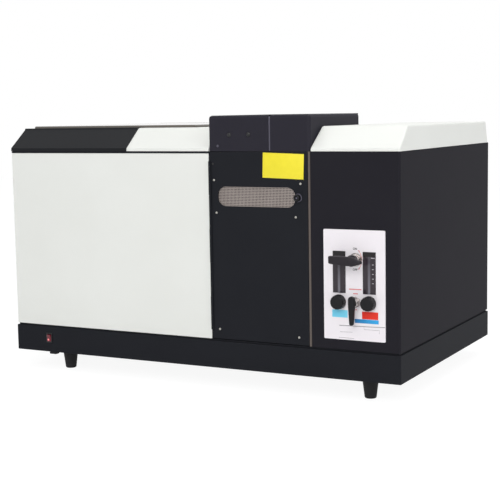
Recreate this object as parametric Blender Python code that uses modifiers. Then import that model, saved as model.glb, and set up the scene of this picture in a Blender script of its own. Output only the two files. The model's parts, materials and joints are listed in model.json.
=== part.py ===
"""Bench-top atomic absorption spectrometer, modelled as an assembly of separate pieces.

Metres, +Z up.  The origin is on the table under the middle of the instrument: X runs to the
right along the front, Y runs from the front to the back.
"""
import math

import bmesh
import bpy
from mathutils import Matrix, Vector

# Overall sizes
body_depth = 0.555            # casing, front to back
foot_height = 0.040
plinth_height = 0.0555
plinth_proud = 0.0015         # plinth stands out of the casing by this much all round
body_height = 0.378           # casing above the deck plate
lid_rise = 0.047              # lids above the casing
hood_rise = 0.0705            # burner hood above the casing
lever_reach = 0.0365          # front of the upper lever, ahead of the casing front
fitting_reach = 0.028         # gas fittings, behind the casing back
optics_width = 0.4928         # left section, from the casing's left side
burner_width = 0.2223         # middle section
gas_width = 0.1819            # right section

# Sheet metal
sheet = 0.0015                # casing sheet
fit = 0.0003                  # clearance between pieces that touch
overrun = 0.004               # how far a cutter runs past the face it cuts
fold_round = 0.003            # outside radius of a folded edge
flange = 0.012                # turned-in edges of the panels

# Facets round turned and drilled pieces
pin_sides = 10
small_sides = 12
round_sides = 16
disc_sides = 20
chamber_sides = 24
fan_bore_sides = 32
nut_flats = 6
ball_rings = 6
corner_steps = 4              # points along a round corner or a finger lobe
weld_distance = 0.00001
smooth_angle = math.radians(35)
fold_angle = math.radians(20)

# Plinth, deck and feet
plinth_lip = 0.014
deck_thick = 0.003
deck_inset = 0.004
foot_top_radius = 0.0155
foot_bottom_radius = 0.0105
foot_edge = 0.003
foot_from_left = 0.112
foot_from_right = 0.078
foot_from_front = 0.040

# Power rocker in the plinth
switch_from_left = 0.0875
switch_above_plinth = 0.0315
bezel_width = 0.015
bezel_height = 0.021
bezel_proud = 0.0018
bezel_border = 0.0022
bezel_depth = 0.014
rocker_proud = 0.0016
rocker_depth = 0.0085
rocker_tilt = math.radians(8)
rocker_gap = 0.0006

# Lids with the sloping front
lid_lip = 0.0055
lid_set_back = 0.050
lid_draw_in = 0.003
lid_rear_inset = 0.006
seal_height = 0.004
fascia_width = 0.2985
fascia_thick = 0.0011
fascia_top_margin = 0.0045

# Lamp hatch in the optics lid
hatch_left_margin = 0.020
hatch_right_margin = 0.0628
hatch_front_margin = 0.008    # behind the top of the slope
hatch_rear_margin = 0.020
hatch_height = 0.005
hatch_wall = 0.0012
hatch_taper = 0.001
hatch_overlap = 0.020         # hatch beyond its opening, all round
hatch_hinge_share = 0.08      # hinge ends at this share of the hatch width from its ends
hatch_knuckles = 5

# Long hinges with knuckles that belong to the fixed and the moving leaf by turns
knuckle_radius = 0.0025
pin_radius = 0.0010
pin_clearance = 0.0003
leaf_thick = 0.0008
leaf_reach = 0.016
knuckle_gap = 0.0005

# Burner door
door_side_gap = 0.0008
door_low_gap = 0.0015
door_top_gap = 0.0008
edge_strip_width = 0.0048
edge_strip_thick = 0.003
door_hinge_share = 0.05       # hinge ends at this share of the door height from its ends
door_knuckles = 5
slot_height = 0.039
slot_from_door_left = 0.0185
slot_from_door_right = 0.0265
slot_below_beam = 0.0025      # middle of the slot
slot_corner_share = 0.42
screen_margin_x = 0.0155
screen_margin_z = 0.0225
screen_thick = 0.001
screen_pitch = 0.0120
screen_bar = 0.0026
knob_from_slot = 0.0062
latch_knob_radius = 0.0070
latch_knob_length = 0.0095
latch_knob_rim_share = 0.8    # the chamfer starts at this share of the knob's radius and length
latch_spindle_radius = 0.0022
latch_cam_length = 0.0235
latch_cam_width = 0.007
latch_cam_thick = 0.0022
latch_cam_gap = 0.0012
strike_width = 0.0030
strike_depth = 0.0045
strike_height = 0.016

# Burner hood
hood_depth = 0.241
hood_fold = 0.006
hood_flange = 0.010
hood_seam = 0.0040
hood_left_width = 0.1335

# Gas box controls
panel_width = 0.1255
panel_height = 0.211
panel_thick = 0.002
panel_place_share = 0.4876     # of the free width that lies left of the control panel
panel_above_plinth_low = 0.079
panel_corner = 0.002
panel_backing_margin = 0.008
meter_width = 0.0258
meter_height = 0.0797
meter_depth = 0.022
meter_proud = 0.0012
meter_above_panel_low = 0.0900
meter_offset = 0.0307         # each side of the panel's middle
meter_bore_radius = 0.0030
meter_end_wall = 0.011
meter_port_radius = 0.0015
float_radius = 0.0026
needle_above_panel_low = 0.0728
needle_knob_radius = 0.0142
needle_knob_length = 0.0140
needle_knob_gap = 0.0012
needle_knob_edge = 0.0012
lobe_edge_angle = math.radians(60)
needle_knob_lobes = 8
needle_lobe_share = 0.055
needle_spindle_radius = 0.003
valve_offset = 0.0030         # right of the panel's middle
upper_valve_above_panel_low = 0.1545
lower_valve_above_panel_low = 0.0735
nut_radius = 0.0108
nut_thick = 0.0050
bushing_radius = 0.0062
valve_spindle_radius = 0.0040
lever_hub_radius = 0.0110
upper_lever_arm = 0.043
upper_lever_nose = 0.025
upper_lever_height = 0.0175
upper_lever_thick = 0.0125
upper_lever_edge = 0.0021
upper_lever_shares = (0.33, -0.33, 0.2)   # shoulder along the nose, then the nose's two corners
lower_lever_arm = 0.0412
lower_lever_shoulder = 0.0080  # above its axis, where the head starts to narrow
lower_lever_head = 0.0138
lower_lever_hub_radius = 0.0053
lower_lever_head_share = 0.7
lower_lever_top_width = 0.0130
lower_lever_tip_width = 0.0075
lower_lever_thick = 0.0080
lower_lever_edge = 0.0020
lower_lever_back = 0.0164     # back of the lower lever, ahead of the panel
valve_block_width = 0.096
valve_block_depth = 0.030
valve_block_back = 0.034      # front of the block, behind the casing front
valve_block_low = 0.040
valve_block_height = 0.140
valve_leg_thick = 0.004
spindle_in_block = 0.008

# Light path
beam_behind_front = 0.120
beam_below_top = 0.0865
aperture_radius = 0.012
window_radius = 0.0155
window_thick = 0.003

# Lamp turret
lamp_count = 4
lamp_radius = 0.0185
lamp_length = 0.152
lamp_base_radius = 0.0165
lamp_base_length = 0.028
lamp_neck_radius = 0.0105
lamp_neck_length = 0.022
turret_circle = 0.045
turret_disc_radius = 0.070
turret_disc_thick = 0.008
turret_cup_wall = 0.003
turret_cup_depth = 0.012
turret_shaft_radius = 0.008
turret_front_disc = 0.098     # front disc from the rear disc
turret_from_left = 0.120      # bearing stand from the casing's left side
turret_gap = 0.004            # between the bearing stand and the rear disc
stand_thick = 0.010
stand_width = 0.070
stand_foot = 0.040
stand_head = 0.020
turret_motor = 0.042
turret_motor_length = 0.045
lens_tube_radius = 0.018
lens_bore_radius = 0.015
lens_tube_length = 0.046
lens_flange_radius = 0.026
lens_flange_thick = 0.004
lens_thick = 0.005
lens_place_share = 0.45       # lens along the tube, from the wall
background_lamp_from_wall = 0.075
background_lamp_behind_beam = 0.120
background_lamp_size = 0.070
background_lamp_vent_radius = 0.014
background_lamp_vent_height = 0.018
vent_bore_share = 0.75
supply_width = 0.210
supply_depth = 0.170
supply_height = 0.105
supply_from_left = 0.030
supply_from_rear = 0.030
supply_fins = 8
supply_fin_share = 0.35       # fins take this share of the height
board_from_supply = 0.0363    # the board fills the rest up to its wall margin
board_depth = 0.160
board_thick = 0.0016
board_stand_off = 0.010
board_post_radius = 0.003
board_post_inset = 0.010
board_from_wall = 0.025
board_from_rear = 0.010
# Board parts: middle across and along, width, depth, and height as a share of the board's width
board_part_shares = ((0.25, 0.30, 0.21, 0.19, 0.09), (0.70, 0.28, 0.16, 0.19, 0.04),
                     (0.30, 0.72, 0.14, 0.31, 0.06), (0.72, 0.70, 0.26, 0.21, 0.12))

# Detection side, behind the gas controls
mono_side_gap = 0.0102        # from the walls on both sides
mono_depth = 0.330
mono_height = 0.120
mono_from_front = 0.090
mono_below_beam = 0.062
mono_tube_radius = 0.013
mono_post_radius = 0.007
mono_post_inset = 0.018
mono_edge = 0.004
slit_bore_share = 0.7
detector_radius = 0.022
detector_length = 0.095
detector_cap = 0.008

# Burner and its lift
burner_length = 0.110
burner_top_width = 0.014
burner_base_width = 0.030
burner_head_height = 0.038
burner_shoulder_share = 0.45
burner_slot_length = 0.100
burner_slot_width = 0.0012
burner_slot_depth = 0.024
burner_below_beam = 0.012
stem_radius = 0.011
stem_length = 0.014
stem_bore_radius = 0.007
chamber_radius = 0.027
chamber_front_margin = 0.062  # front of the chamber, behind the casing front
chamber_cap_radius = 0.031
chamber_cap_length = 0.012
chamber_neck_radius = 0.016
chamber_neck_height = 0.024
drain_radius = 0.006
drain_length = 0.022
drain_from_rear = 0.020
drain_bore_share = 0.6
nebuliser_radius = 0.010
nebuliser_length = 0.030
capillary_radius = 0.0012
nebuliser_shares = (0.72, 0.55, 0.42, 0.35)
guide_behind_beam = 0.086
guide_rod_radius = 0.005
guide_rod_spacing = 0.064
guide_base_height = 0.013
guide_base_depth = 0.036
guide_height = 0.175
guide_tie_height = 0.008
guide_tie_depth = 0.014
carriage_width = 0.088
carriage_depth = 0.024
carriage_height = 0.050
carriage_above_deck = 0.062
carriage_bush_gap = 0.0004
cradle_thick = 0.006
cradle_width = 0.060
tooth_module = 0.0015
pinion_teeth = 16
rack_teeth = 13
rack_thick = 0.005
rack_depth = 0.012
tooth_backlash = 0.0007
tooth_tip_clearance = 0.0006
dedendum_share = 1.25         # tooth depth below the pitch line, in modules
pressure_angle = math.radians(20)
rack_seat_share = 1.3         # rack reaches this share of its thickness into the carriage
lift_knob_radius = 0.016
lift_knob_length = 0.015
lift_knob_behind_front = 0.084
lift_knob_lobes = 10
lift_spindle_radius = 0.004
lift_bearing_length = 0.030
lift_bearing_wall = 0.006
lift_bearing_from_carriage = 0.014
tray_margin = 0.014
tray_depth = 0.115
tray_height = 0.012
tray_from_front = 0.018

# Back of the instrument
louvre_count = 8
louvre_length = 0.080
louvre_slot = 0.004
louvre_pitch = 0.010
louvre_below_top = 0.128
louvre_from_left = 0.1435     # middle of the slots, from the casing's left side
louvre_from_right = 0.1256
fan_size = 0.080
fan_depth = 0.025
fan_bore_radius = 0.038
fan_hub_radius = 0.016
fan_blade_count = 7
fan_blade_gap = 0.0015
fan_blade_thick = 0.0016
fan_blade_pitch = math.radians(38)
fan_strut = 0.004
fan_strut_depth = 0.004
fan_above_deck = 0.085
fan_from_wall = 0.0028
blade_chord_share = 0.55
inlet_width = 0.030
inlet_height = 0.046
inlet_depth = 0.026
inlet_proud = 0.003
inlet_border = 0.004
inlet_socket_width = 0.022
inlet_socket_height = 0.016
inlet_socket_depth = 0.016
inlet_pin = 0.002
inlet_pin_spread = 0.007
inlet_from_left = 0.1973
inlet_above_deck = 0.050
port_width = 0.031
port_depth = 0.012
port_height = 0.0125
port_shell_width = 0.018
port_shell_height = 0.009
port_proud = 0.006
port_taper_share = 0.85
port_inner_share = 0.85
port_share = 0.5              # along the board
fitting_count = 2
fitting_barbs = 2
fitting_spacing = 0.042
fitting_from_right = 0.060
fitting_above_deck = 0.090
fitting_flange_radius = 0.0105
fitting_flange_thick = 0.006
fitting_barb_radius = 0.0048
fitting_bore_radius = 0.0026
fitting_tail_radius = 0.0065
fitting_tail = 0.016
fitting_tip_share = 0.75

# Places worked out from the sizes above
width = 2 * plinth_proud + optics_width + burner_width + gas_width
left = -width / 2
right = width / 2
overall_depth = body_depth + lever_reach + fitting_reach
front = -overall_depth / 2 + lever_reach
rear = front + body_depth
body_left = left + plinth_proud
body_right = right - plinth_proud
plinth_low = foot_height
plinth_top = plinth_low + plinth_height
deck_low = plinth_top + fit
deck_top = deck_low + deck_thick
panel_low = deck_top + fit
body_top = deck_top + body_height
lid_low = body_top + fit
lid_top = body_top + lid_rise
hood_top = body_top + hood_rise
optics_right = body_left + optics_width
door_left = optics_right + 2 * fit + leaf_thick + fit
gas_left = optics_right + burner_width
door_right = gas_left - edge_strip_width - door_side_gap
slot_width = door_right - door_left - slot_from_door_left - slot_from_door_right
burner_x = (optics_right + gas_left) / 2
beam_y = front + beam_behind_front
beam_z = body_top - beam_below_top
slot_z = beam_z - slot_below_beam
bay_rear = front + hood_depth

for old in list(bpy.data.objects):
    bpy.data.objects.remove(old, do_unlink=True)

parts = bpy.data.collections.new("atomic_absorption_spectrometer")
tools = bpy.data.collections.new("cutters")
bpy.context.scene.collection.children.link(parts)
bpy.context.scene.collection.children.link(tools)


def finish(name, colour, roughness, metallic=0.0):
    """A Principled BSDF material with one colour."""
    made = bpy.data.materials.new(name)
    made.use_nodes = True
    shader = made.node_tree.nodes["Principled BSDF"]
    shader.inputs["Base Color"].default_value = (*colour, 1.0)
    shader.inputs["Roughness"].default_value = roughness
    shader.inputs["Metallic"].default_value = metallic
    return made


white_paint = finish("white powder-coated steel", (0.84, 0.85, 0.82), 0.45)
black_paint = finish("black powder-coated steel", (0.022, 0.022, 0.027), 0.5)
brown_paint = finish("brown-grey painted steel", (0.13, 0.11, 0.09), 0.5)
black_plastic = finish("black ABS", (0.015, 0.015, 0.017), 0.35)
grey_plastic = finish("grey polypropylene", (0.55, 0.56, 0.55), 0.4)
red_plastic = finish("red polycarbonate", (0.38, 0.02, 0.03), 0.3)
rubber = finish("black rubber", (0.02, 0.02, 0.02), 0.8)
steel = finish("stainless steel", (0.60, 0.59, 0.57), 0.3, 1.0)
zinc = finish("zinc-plated steel", (0.55, 0.55, 0.52), 0.4, 1.0)
brass = finish("brass", (0.72, 0.52, 0.25), 0.3, 1.0)
aluminium = finish("aluminium", (0.70, 0.70, 0.69), 0.35, 1.0)
beige_strip = finish("anodised beige aluminium", (0.21, 0.17, 0.13), 0.45, 0.6)
panel_print = finish("white screen-printed polycarbonate", (0.86, 0.84, 0.87), 0.35)
acrylic = finish("smoked acrylic", (0.06, 0.05, 0.07), 0.1)
glass = finish("borosilicate glass", (0.75, 0.80, 0.82), 0.05)
green_board = finish("green circuit board", (0.02, 0.16, 0.06), 0.45)


def add(name, mesh, look, at, tool):
    """Put a mesh in the scene, as a piece with a look or as a tool for a Boolean."""
    thing = bpy.data.objects.new(name, mesh)
    thing.location = at
    (tools if tool else parts).objects.link(thing)
    if tool:
        thing.hide_render = True
        thing.display_type = "WIRE"
    else:
        mesh.materials.append(look)
    return thing


def mesh_from(bm, name, smooth=False):
    made = bpy.data.meshes.new(name)
    bm.to_mesh(made)
    bm.free()
    if smooth:
        made.shade_smooth()
        made.set_sharp_from_angle(angle=smooth_angle)
    return made


def block(name, low, high, look=None, origin=None, round_edges=0.0, segments=2):
    """A box between two corners; a tool when it has no look."""
    low, high = Vector(low), Vector(high)
    origin = (low + high) / 2 if origin is None else Vector(origin)
    bm = bmesh.new()
    bmesh.ops.create_cube(bm, size=1.0)
    bmesh.ops.scale(bm, vec=high - low, verts=bm.verts)
    bmesh.ops.translate(bm, vec=(low + high) / 2 - origin, verts=bm.verts)
    piece = add(name, mesh_from(bm, name), look, origin, look is None)
    if round_edges:
        soften(piece, round_edges, segments)
    return piece


def soften(piece, radius, segments=2, angle=smooth_angle):
    """Round a piece's sharp edges."""
    bevel = piece.modifiers.new("rounded edges", "BEVEL")
    bevel.width = radius
    bevel.segments = segments
    bevel.limit_method = "ANGLE"
    bevel.angle_limit = angle


def aim(axis):
    """Turns +Z to the named axis."""
    return {
        "+X": Matrix.Rotation(math.pi / 2, 4, "Y"),
        "-X": Matrix.Rotation(-math.pi / 2, 4, "Y"),
        "+Y": Matrix.Rotation(-math.pi / 2, 4, "X"),
        "-Y": Matrix.Rotation(math.pi / 2, 4, "X"),
        "+Z": Matrix.Identity(4),
        "-Z": Matrix.Rotation(math.pi, 4, "X"),
    }[axis]


def rod(name, base, axis, length, radius, look=None, origin=None, sides=round_sides):
    """A round bar from a base point along an axis."""
    base = Vector(base)
    origin = base if origin is None else Vector(origin)
    bm = bmesh.new()
    bmesh.ops.create_cone(bm, cap_ends=True, segments=sides, radius1=radius, radius2=radius,
                          depth=length)
    bmesh.ops.translate(bm, vec=(0, 0, length / 2), verts=bm.verts)
    bmesh.ops.transform(bm, matrix=aim(axis), verts=bm.verts)
    bmesh.ops.translate(bm, vec=base - origin, verts=bm.verts)
    return add(name, mesh_from(bm, name, smooth=True), look, origin, look is None)


def turned(name, profile, at, axis, look, sides=disc_sides):
    """A turned piece: profile points (radius, height) run down the outer side, top to bottom."""
    made = bpy.data.meshes.new(name)
    points = [(radius, 0, height) for radius, height in profile]
    made.from_pydata(points, [(i, i + 1) for i in range(len(points) - 1)], [])
    piece = add(name, made, look, at, look is None)
    piece.rotation_euler = aim(axis).to_euler()
    screw = piece.modifiers.new("turned", "SCREW")
    screw.steps = screw.render_steps = sides
    screw.use_merge_vertices = True
    screw.merge_threshold = weld_distance
    screw.use_smooth_shade = True
    return piece


def prism(name, outline, low, high, axis, look=None, origin=None):
    """An outline pushed along an axis: X takes (y, z) points, Y takes (x, z), Z takes (x, y)."""
    place = {"X": lambda a, b, c: Vector((c, a, b)),
             "Y": lambda a, b, c: Vector((a, c, b)),
             "Z": lambda a, b, c: Vector((a, b, c))}[axis]
    origin = Vector((0, 0, 0)) if origin is None else Vector(origin)
    bm = bmesh.new()
    face = bm.faces.new([bm.verts.new(place(a, b, low) - origin) for a, b in outline])
    pushed = bmesh.ops.extrude_face_region(bm, geom=[face])
    moved = [item for item in pushed["geom"] if isinstance(item, bmesh.types.BMVert)]
    bmesh.ops.translate(bm, vec=place(0, 0, high - low), verts=moved)
    bmesh.ops.recalc_face_normals(bm, faces=bm.faces)
    return add(name, mesh_from(bm, name), look, origin, look is None)


def cut(piece, *cutters):
    for number, cutter in enumerate(cutters):
        step = piece.modifiers.new(f"cut {number}", "BOOLEAN")
        step.operation = "DIFFERENCE"
        step.object = cutter
    return piece


def fuse(piece, *others):
    for number, other in enumerate(others):
        step = piece.modifiers.new(f"fuse {number}", "BOOLEAN")
        step.operation = "UNION"
        step.object = other
    return piece


def offset_line(points, distance):
    """The open line that runs beside another, to its left, with mitred corners."""
    normals = []
    for start, end in zip(points, points[1:]):
        along = (Vector(end) - Vector(start)).normalized()
        normals.append(Vector((-along.y, along.x)))
    moved = [Vector(points[0]) + normals[0] * distance]
    for corner, before, after in zip(points[1:-1], normals, normals[1:]):
        middle = (before + after).normalized()
        moved.append(Vector(corner) + middle * distance / middle.dot(before))
    moved.append(Vector(points[-1]) + normals[-1] * distance)
    return moved


def solidify(piece, thickness, inward=True):
    step = piece.modifiers.new("sheet", "SOLIDIFY")
    step.thickness = thickness
    step.offset = -1.0 if inward else 1.0
    step.use_even_offset = True
    return piece


def sloped_cover(name, x_low, x_high, y_low, y_high, z_low, lip, rise, set_back, draw_in,
                 wall, fold, look, segments=2):
    """A folded cover, open below: a short upright lip, a sloping front and drawn-in sides."""
    bm = bmesh.new()
    rings = []
    for height, front_in, side_in in ((0, 0, 0), (lip, 0, 0), (rise, set_back, draw_in)):
        corners = ((x_low + side_in, y_low + front_in), (x_high - side_in, y_low + front_in),
                   (x_high - side_in, y_high - side_in), (x_low + side_in, y_high - side_in))
        rings.append([bm.verts.new((x, y, height)) for x, y in corners])
    for lower, upper in zip(rings, rings[1:]):
        for i in range(4):
            j = (i + 1) % 4
            bm.faces.new((lower[i], lower[j], upper[j], upper[i]))
    bm.faces.new(rings[-1])
    piece = add(name, mesh_from(bm, name), look, (0, 0, z_low), False)
    soften(piece, fold, segments, fold_angle)
    return solidify(piece, wall)


def folded_wall(name, path, z_low, z_high, turn_in, wall, fold, look):
    """A sheet that stands along a line in plan, with its top edge turned in to the line's left."""
    inner = offset_line(path, turn_in)
    bm = bmesh.new()
    rows = [[bm.verts.new((x, y, z_low)) for x, y in path],
            [bm.verts.new((x, y, z_high)) for x, y in path],
            [bm.verts.new((x, y, z_high)) for x, y in inner]]
    for lower, upper in zip(rows, rows[1:]):
        for i in range(len(path) - 1):
            bm.faces.new((lower[i], lower[i + 1], upper[i + 1], upper[i]))
    piece = add(name, mesh_from(bm, name), look, (0, 0, 0), False)
    soften(piece, fold)
    return solidify(piece, wall)


def rounded_rectangle(low, high, radius, steps=corner_steps):
    """Corner points of a rectangle with round corners, anticlockwise."""
    centres = ((high[0] - radius, high[1] - radius), (low[0] + radius, high[1] - radius),
               (low[0] + radius, low[1] + radius), (high[0] - radius, low[1] + radius))
    points = []
    for corner, (x, y) in enumerate(centres):
        for step in range(steps + 1):
            angle = math.pi / 2 * (corner + step / steps)
            points.append((x + radius * math.cos(angle), y + radius * math.sin(angle)))
    return points


def lobed_circle(radius, lobes, lobe_share, steps=corner_steps):
    """A round outline with shallow finger lobes."""
    count = lobes * steps
    points = []
    for i in range(count):
        angle = 2 * math.pi * i / count
        reach = radius * (1 - lobe_share * (1 - math.cos(lobes * angle)) / 2)
        points.append((reach * math.cos(angle), reach * math.sin(angle)))
    return points


def shifted(points, x, y):
    return [(a + x, b + y) for a, b in points]


def own_origin(piece, point):
    """Move a piece's origin to a point on its joint's axis, with the piece left in place."""
    shift = piece.location - Vector(point)
    piece.data.transform(Matrix.Translation(shift))
    piece.location = point
    return piece


def make_plinth():
    """A folded steel tray; the deck plate closes it and stands back to leave a shadow line."""
    plinth_front = front - plinth_proud
    plinth_rear = rear + plinth_proud
    tray = block("base_tray", (left, plinth_front, plinth_low), (right, plinth_rear, plinth_top),
                 black_paint, round_edges=fold_round / 2)
    hollow = block("plinth hollow", (left + sheet, plinth_front + sheet, plinth_low + sheet),
                   (right - sheet, plinth_rear - sheet, plinth_top - sheet))
    mouth = block("plinth mouth",
                  (left + plinth_lip, plinth_front + plinth_lip, plinth_top - overrun),
                  (right - plinth_lip, plinth_rear - plinth_lip, plinth_top + overrun))
    switch_x = left + switch_from_left
    switch_z = plinth_low + switch_above_plinth
    hole_x = bezel_width / 2 - bezel_border / 2 + fit
    hole_z = bezel_height / 2 - bezel_border / 2 + fit
    hole = block("switch hole", (switch_x - hole_x, plinth_front - overrun, switch_z - hole_z),
                 (switch_x + hole_x, plinth_front + overrun, switch_z + hole_z))
    cut(tray, hollow, mouth, hole)
    block("deck_plate", (left + deck_inset, plinth_front + deck_inset, deck_low),
          (right - deck_inset, plinth_rear - deck_inset, deck_top), black_paint)


def make_feet():
    """Four moulded rubber feet, tapered and rounded at the floor."""
    top = foot_height - fit
    profile = [(0, top), (foot_top_radius, top), (foot_bottom_radius, foot_edge)]
    steps = 3
    for step in range(1, steps + 1):
        angle = math.pi / 2 * step / steps
        profile.append((foot_bottom_radius - foot_edge * (1 - math.cos(angle)),
                        foot_edge * (1 - math.sin(angle))))
    profile.append((0, 0))
    for side, x in (("left", left + foot_from_left), ("right", right - foot_from_right)):
        for end, y in (("front", front + foot_from_front), ("rear", rear - foot_from_front)):
            turned(f"foot_{end}_{side}", profile, (x, y, 0), "+Z", rubber, sides=round_sides)


def make_switch():
    """Lit power rocker in a black bezel at the left of the plinth."""
    face = front - plinth_proud
    x = left + switch_from_left
    z = plinth_low + switch_above_plinth
    half_x, half_z = bezel_width / 2, bezel_height / 2
    bezel = block("switch_bezel", (x - half_x, face - fit - bezel_proud, z - half_z),
                  (x + half_x, face - fit, z + half_z), black_plastic,
                  round_edges=bezel_proud / 3)
    inner_x, inner_z = half_x - bezel_border / 2, half_z - bezel_border / 2
    body = block("bezel body", (x - inner_x, face - fit - bezel_proud / 2, z - inner_z),
                 (x + inner_x, face + bezel_depth, z + inner_z))
    open_x, open_z = half_x - bezel_border, half_z - bezel_border
    well = block("bezel well", (x - open_x, face - overrun, z - open_z),
                 (x + open_x, face + bezel_depth - bezel_border, z + open_z))
    cut(fuse(bezel, body), well)
    key_x, key_z = open_x - rocker_gap, open_z - rocker_gap
    reach = bezel_proud + rocker_proud
    crest = key_z * math.tan(rocker_tilt)
    outline = [(-reach - crest, -key_z), (-reach, 0), (-reach - crest, key_z),
               (rocker_depth, key_z / 3), (rocker_depth, -key_z / 3)]
    rocker = prism("power_rocker", outline, -key_x, key_x, "X", red_plastic)
    rocker.location = (x, face, z)
    rocker.rotation_euler = (rocker_tilt, 0, 0)


def make_optics_case():
    """Front panel, left panel with the rail under the lid, partition, and the sloped lid."""
    panel_top = body_top - seal_height
    panel = block("optics_front_panel", (body_left, front, panel_low),
                  (optics_right, front + flange, panel_top), white_paint,
                  round_edges=fold_round / 3)
    back = block("panel back", (body_left - overrun, front + sheet, panel_low + sheet),
                 (optics_right + overrun, front + flange + overrun, panel_top - sheet))
    ends = [block(f"panel end {side}", (low, front + sheet, panel_low - overrun),
                  (low + 2 * sheet, front + flange + overrun, panel_top + overrun))
            for side, low in (("left", body_left - fit), ("right", optics_right - 2 * sheet + fit))]
    cut(panel, back, *ends)
    wall_front = front + sheet + fit
    wall_rear = rear - sheet - fit
    left_panel = block("optics_left_panel", (body_left, wall_front, panel_low),
                       (body_left + sheet, wall_rear, body_top), black_paint)
    rail = block("lid rail", (body_left, front, panel_top + fit),
                 (optics_right, front + sheet, body_top))
    shelf = block("lid shelf", (body_left, front + sheet / 2, body_top - sheet),
                  (optics_right - 2 * sheet, front + flange, body_top))
    fuse(left_panel, rail, shelf)
    wall = block("burner_left_wall", (optics_right - sheet, wall_front, panel_low),
                 (optics_right, wall_rear, body_top), black_paint)
    cut(wall, rod("left aperture", (optics_right - overrun, beam_y, beam_z), "+X", 2 * overrun,
                  aperture_radius))
    lid = sloped_cover("optics_lid", body_left, optics_right, front, rear - lid_rear_inset,
                       lid_low, lid_lip, lid_top - lid_low, lid_set_back, lid_draw_in, sheet,
                       fold_round, white_paint)
    low, high = hatch_corners()
    cut(lid, block("hatch opening",
                   (low[0] + hatch_overlap, low[1] + hatch_overlap, lid_top - overrun),
                   (high[0] - hatch_overlap, high[1] - hatch_overlap, lid_top + overrun)))
    make_fascia()


def hatch_corners():
    """Front left and rear right corners of the lamp hatch in plan."""
    low = (body_left + hatch_left_margin, front + lid_set_back + hatch_front_margin)
    high = (optics_right - hatch_right_margin,
            rear - lid_rear_inset - lid_draw_in - hatch_rear_margin)
    return low, high


def make_fascia():
    """Black strip bent over the lip and the slope of the optics lid."""
    rise = lid_top - lid_low
    slope = Vector((lid_set_back, rise - lid_lip))
    top = Vector((front, lid_low + lid_lip)) + slope * (1 - fascia_top_margin / slope.length)
    line = [(front, lid_low), (front, lid_low + lid_lip), tuple(top)]
    outer = offset_line(line, fit + fascia_thick)
    inner = offset_line(line, fit)
    strip = prism("lid_fascia", [tuple(p) for p in outer + inner[::-1]],
                  body_left, body_left + fascia_width, "X", black_plastic)
    for vertex in strip.data.vertices:
        share = max(0, (vertex.co.z - lid_low - lid_lip) / (rise - lid_lip))
        if vertex.co.x < body_left + fascia_width / 2:
            vertex.co.x += lid_draw_in * share


def make_lamp_hatch():
    """Flat hatch over the lamps, hinged along its rear edge."""
    low, high = hatch_corners()
    axis_y = high[1] + knuckle_radius + knuckle_gap
    axis_z = lid_top + 2 * fit + knuckle_radius
    hatch = sloped_cover("lamp_lid", low[0], high[0], low[1], high[1], lid_top + fit,
                         hatch_height / 2, hatch_height, hatch_taper, hatch_taper, hatch_wall,
                         hatch_wall / 2, brown_paint, segments=1)
    own_origin(hatch, ((low[0] + high[0]) / 2, axis_y, axis_z))
    span = high[0] - low[0]
    start = low[0] + span * hatch_hinge_share
    length = span * (1 - 2 * hatch_hinge_share)
    hinge = rod("lamp_lid_hinge", (start - knuckle_gap, axis_y, axis_z), "+X",
                length + 2 * knuckle_gap, pin_radius, zinc, sides=pin_sides)
    leaf = block("lid leaf", (start, axis_y - knuckle_radius / 3, lid_top + fit),
                 (start + length, axis_y + leaf_reach, lid_top + fit + leaf_thick))
    fixed, moving = [leaf], []
    for number, (begin, end) in enumerate(knuckle_spans(start, length, hatch_knuckles)):
        knuckle = rod(f"hatch knuckle {number}", (begin, axis_y, axis_z), "+X", end - begin,
                      knuckle_radius, sides=small_sides)
        if number % 2 == 0:
            fixed.append(knuckle)
            continue
        tab = block(f"hatch tab {number}", (begin, high[1] - 2 * hatch_wall, axis_z - leaf_thick),
                    (end, axis_y, axis_z))
        moving += [tab, knuckle]
        cut(leaf, block(f"leaf notch {number}",
                        (begin - knuckle_gap, axis_y - knuckle_radius, lid_top - overrun),
                        (end + knuckle_gap, axis_y + knuckle_radius + knuckle_gap,
                         lid_top + overrun)))
    bore = rod("hatch bore", (start - overrun, axis_y, axis_z), "+X", length + 2 * overrun,
               pin_radius + pin_clearance, sides=small_sides)
    cut(fuse(hatch, *moving), bore)
    fuse(hinge, *fixed)


def knuckle_spans(start, length, count):
    """Where each knuckle of a hinge begins and ends along its line."""
    step = (length + knuckle_gap) / count
    return [(start + step * number, start + step * (number + 1) - knuckle_gap)
            for number in range(count)]


def make_burner_bay():
    """Walls round the burner, the edge strip with the gas box, and the rear top cover."""
    block("edge_strip", (gas_left - edge_strip_width, front, panel_low),
          (gas_left, front + edge_strip_thick, body_top), beige_strip,
          round_edges=edge_strip_thick / 4)
    wall_rear = rear - sheet - fit
    wall = block("burner_right_wall", (gas_left - sheet, front + edge_strip_thick + fit, panel_low),
                 (gas_left, wall_rear, body_top), black_paint)
    cam_front = front + flange + latch_cam_gap
    strike = block("strike", (gas_left - sheet - strike_width, cam_front - fit - strike_depth,
                              slot_z - strike_height / 2),
                   (gas_left - sheet / 2, cam_front - fit, slot_z + strike_height / 2))
    cut(fuse(wall, strike), rod("right aperture", (gas_left - overrun, beam_y, beam_z), "+X",
                                2 * overrun, aperture_radius))
    inner_left = optics_right + fit
    inner_right = gas_left - sheet - fit
    rear_wall = block("burner_rear_wall", (inner_left, bay_rear, panel_low),
                      (inner_right, bay_rear + sheet, hood_top), black_paint)
    cover = block("centre cover", (inner_left, bay_rear + sheet / 2, body_top - sheet),
                  (inner_right, wall_rear, body_top))
    fuse(rear_wall, cover)


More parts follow.
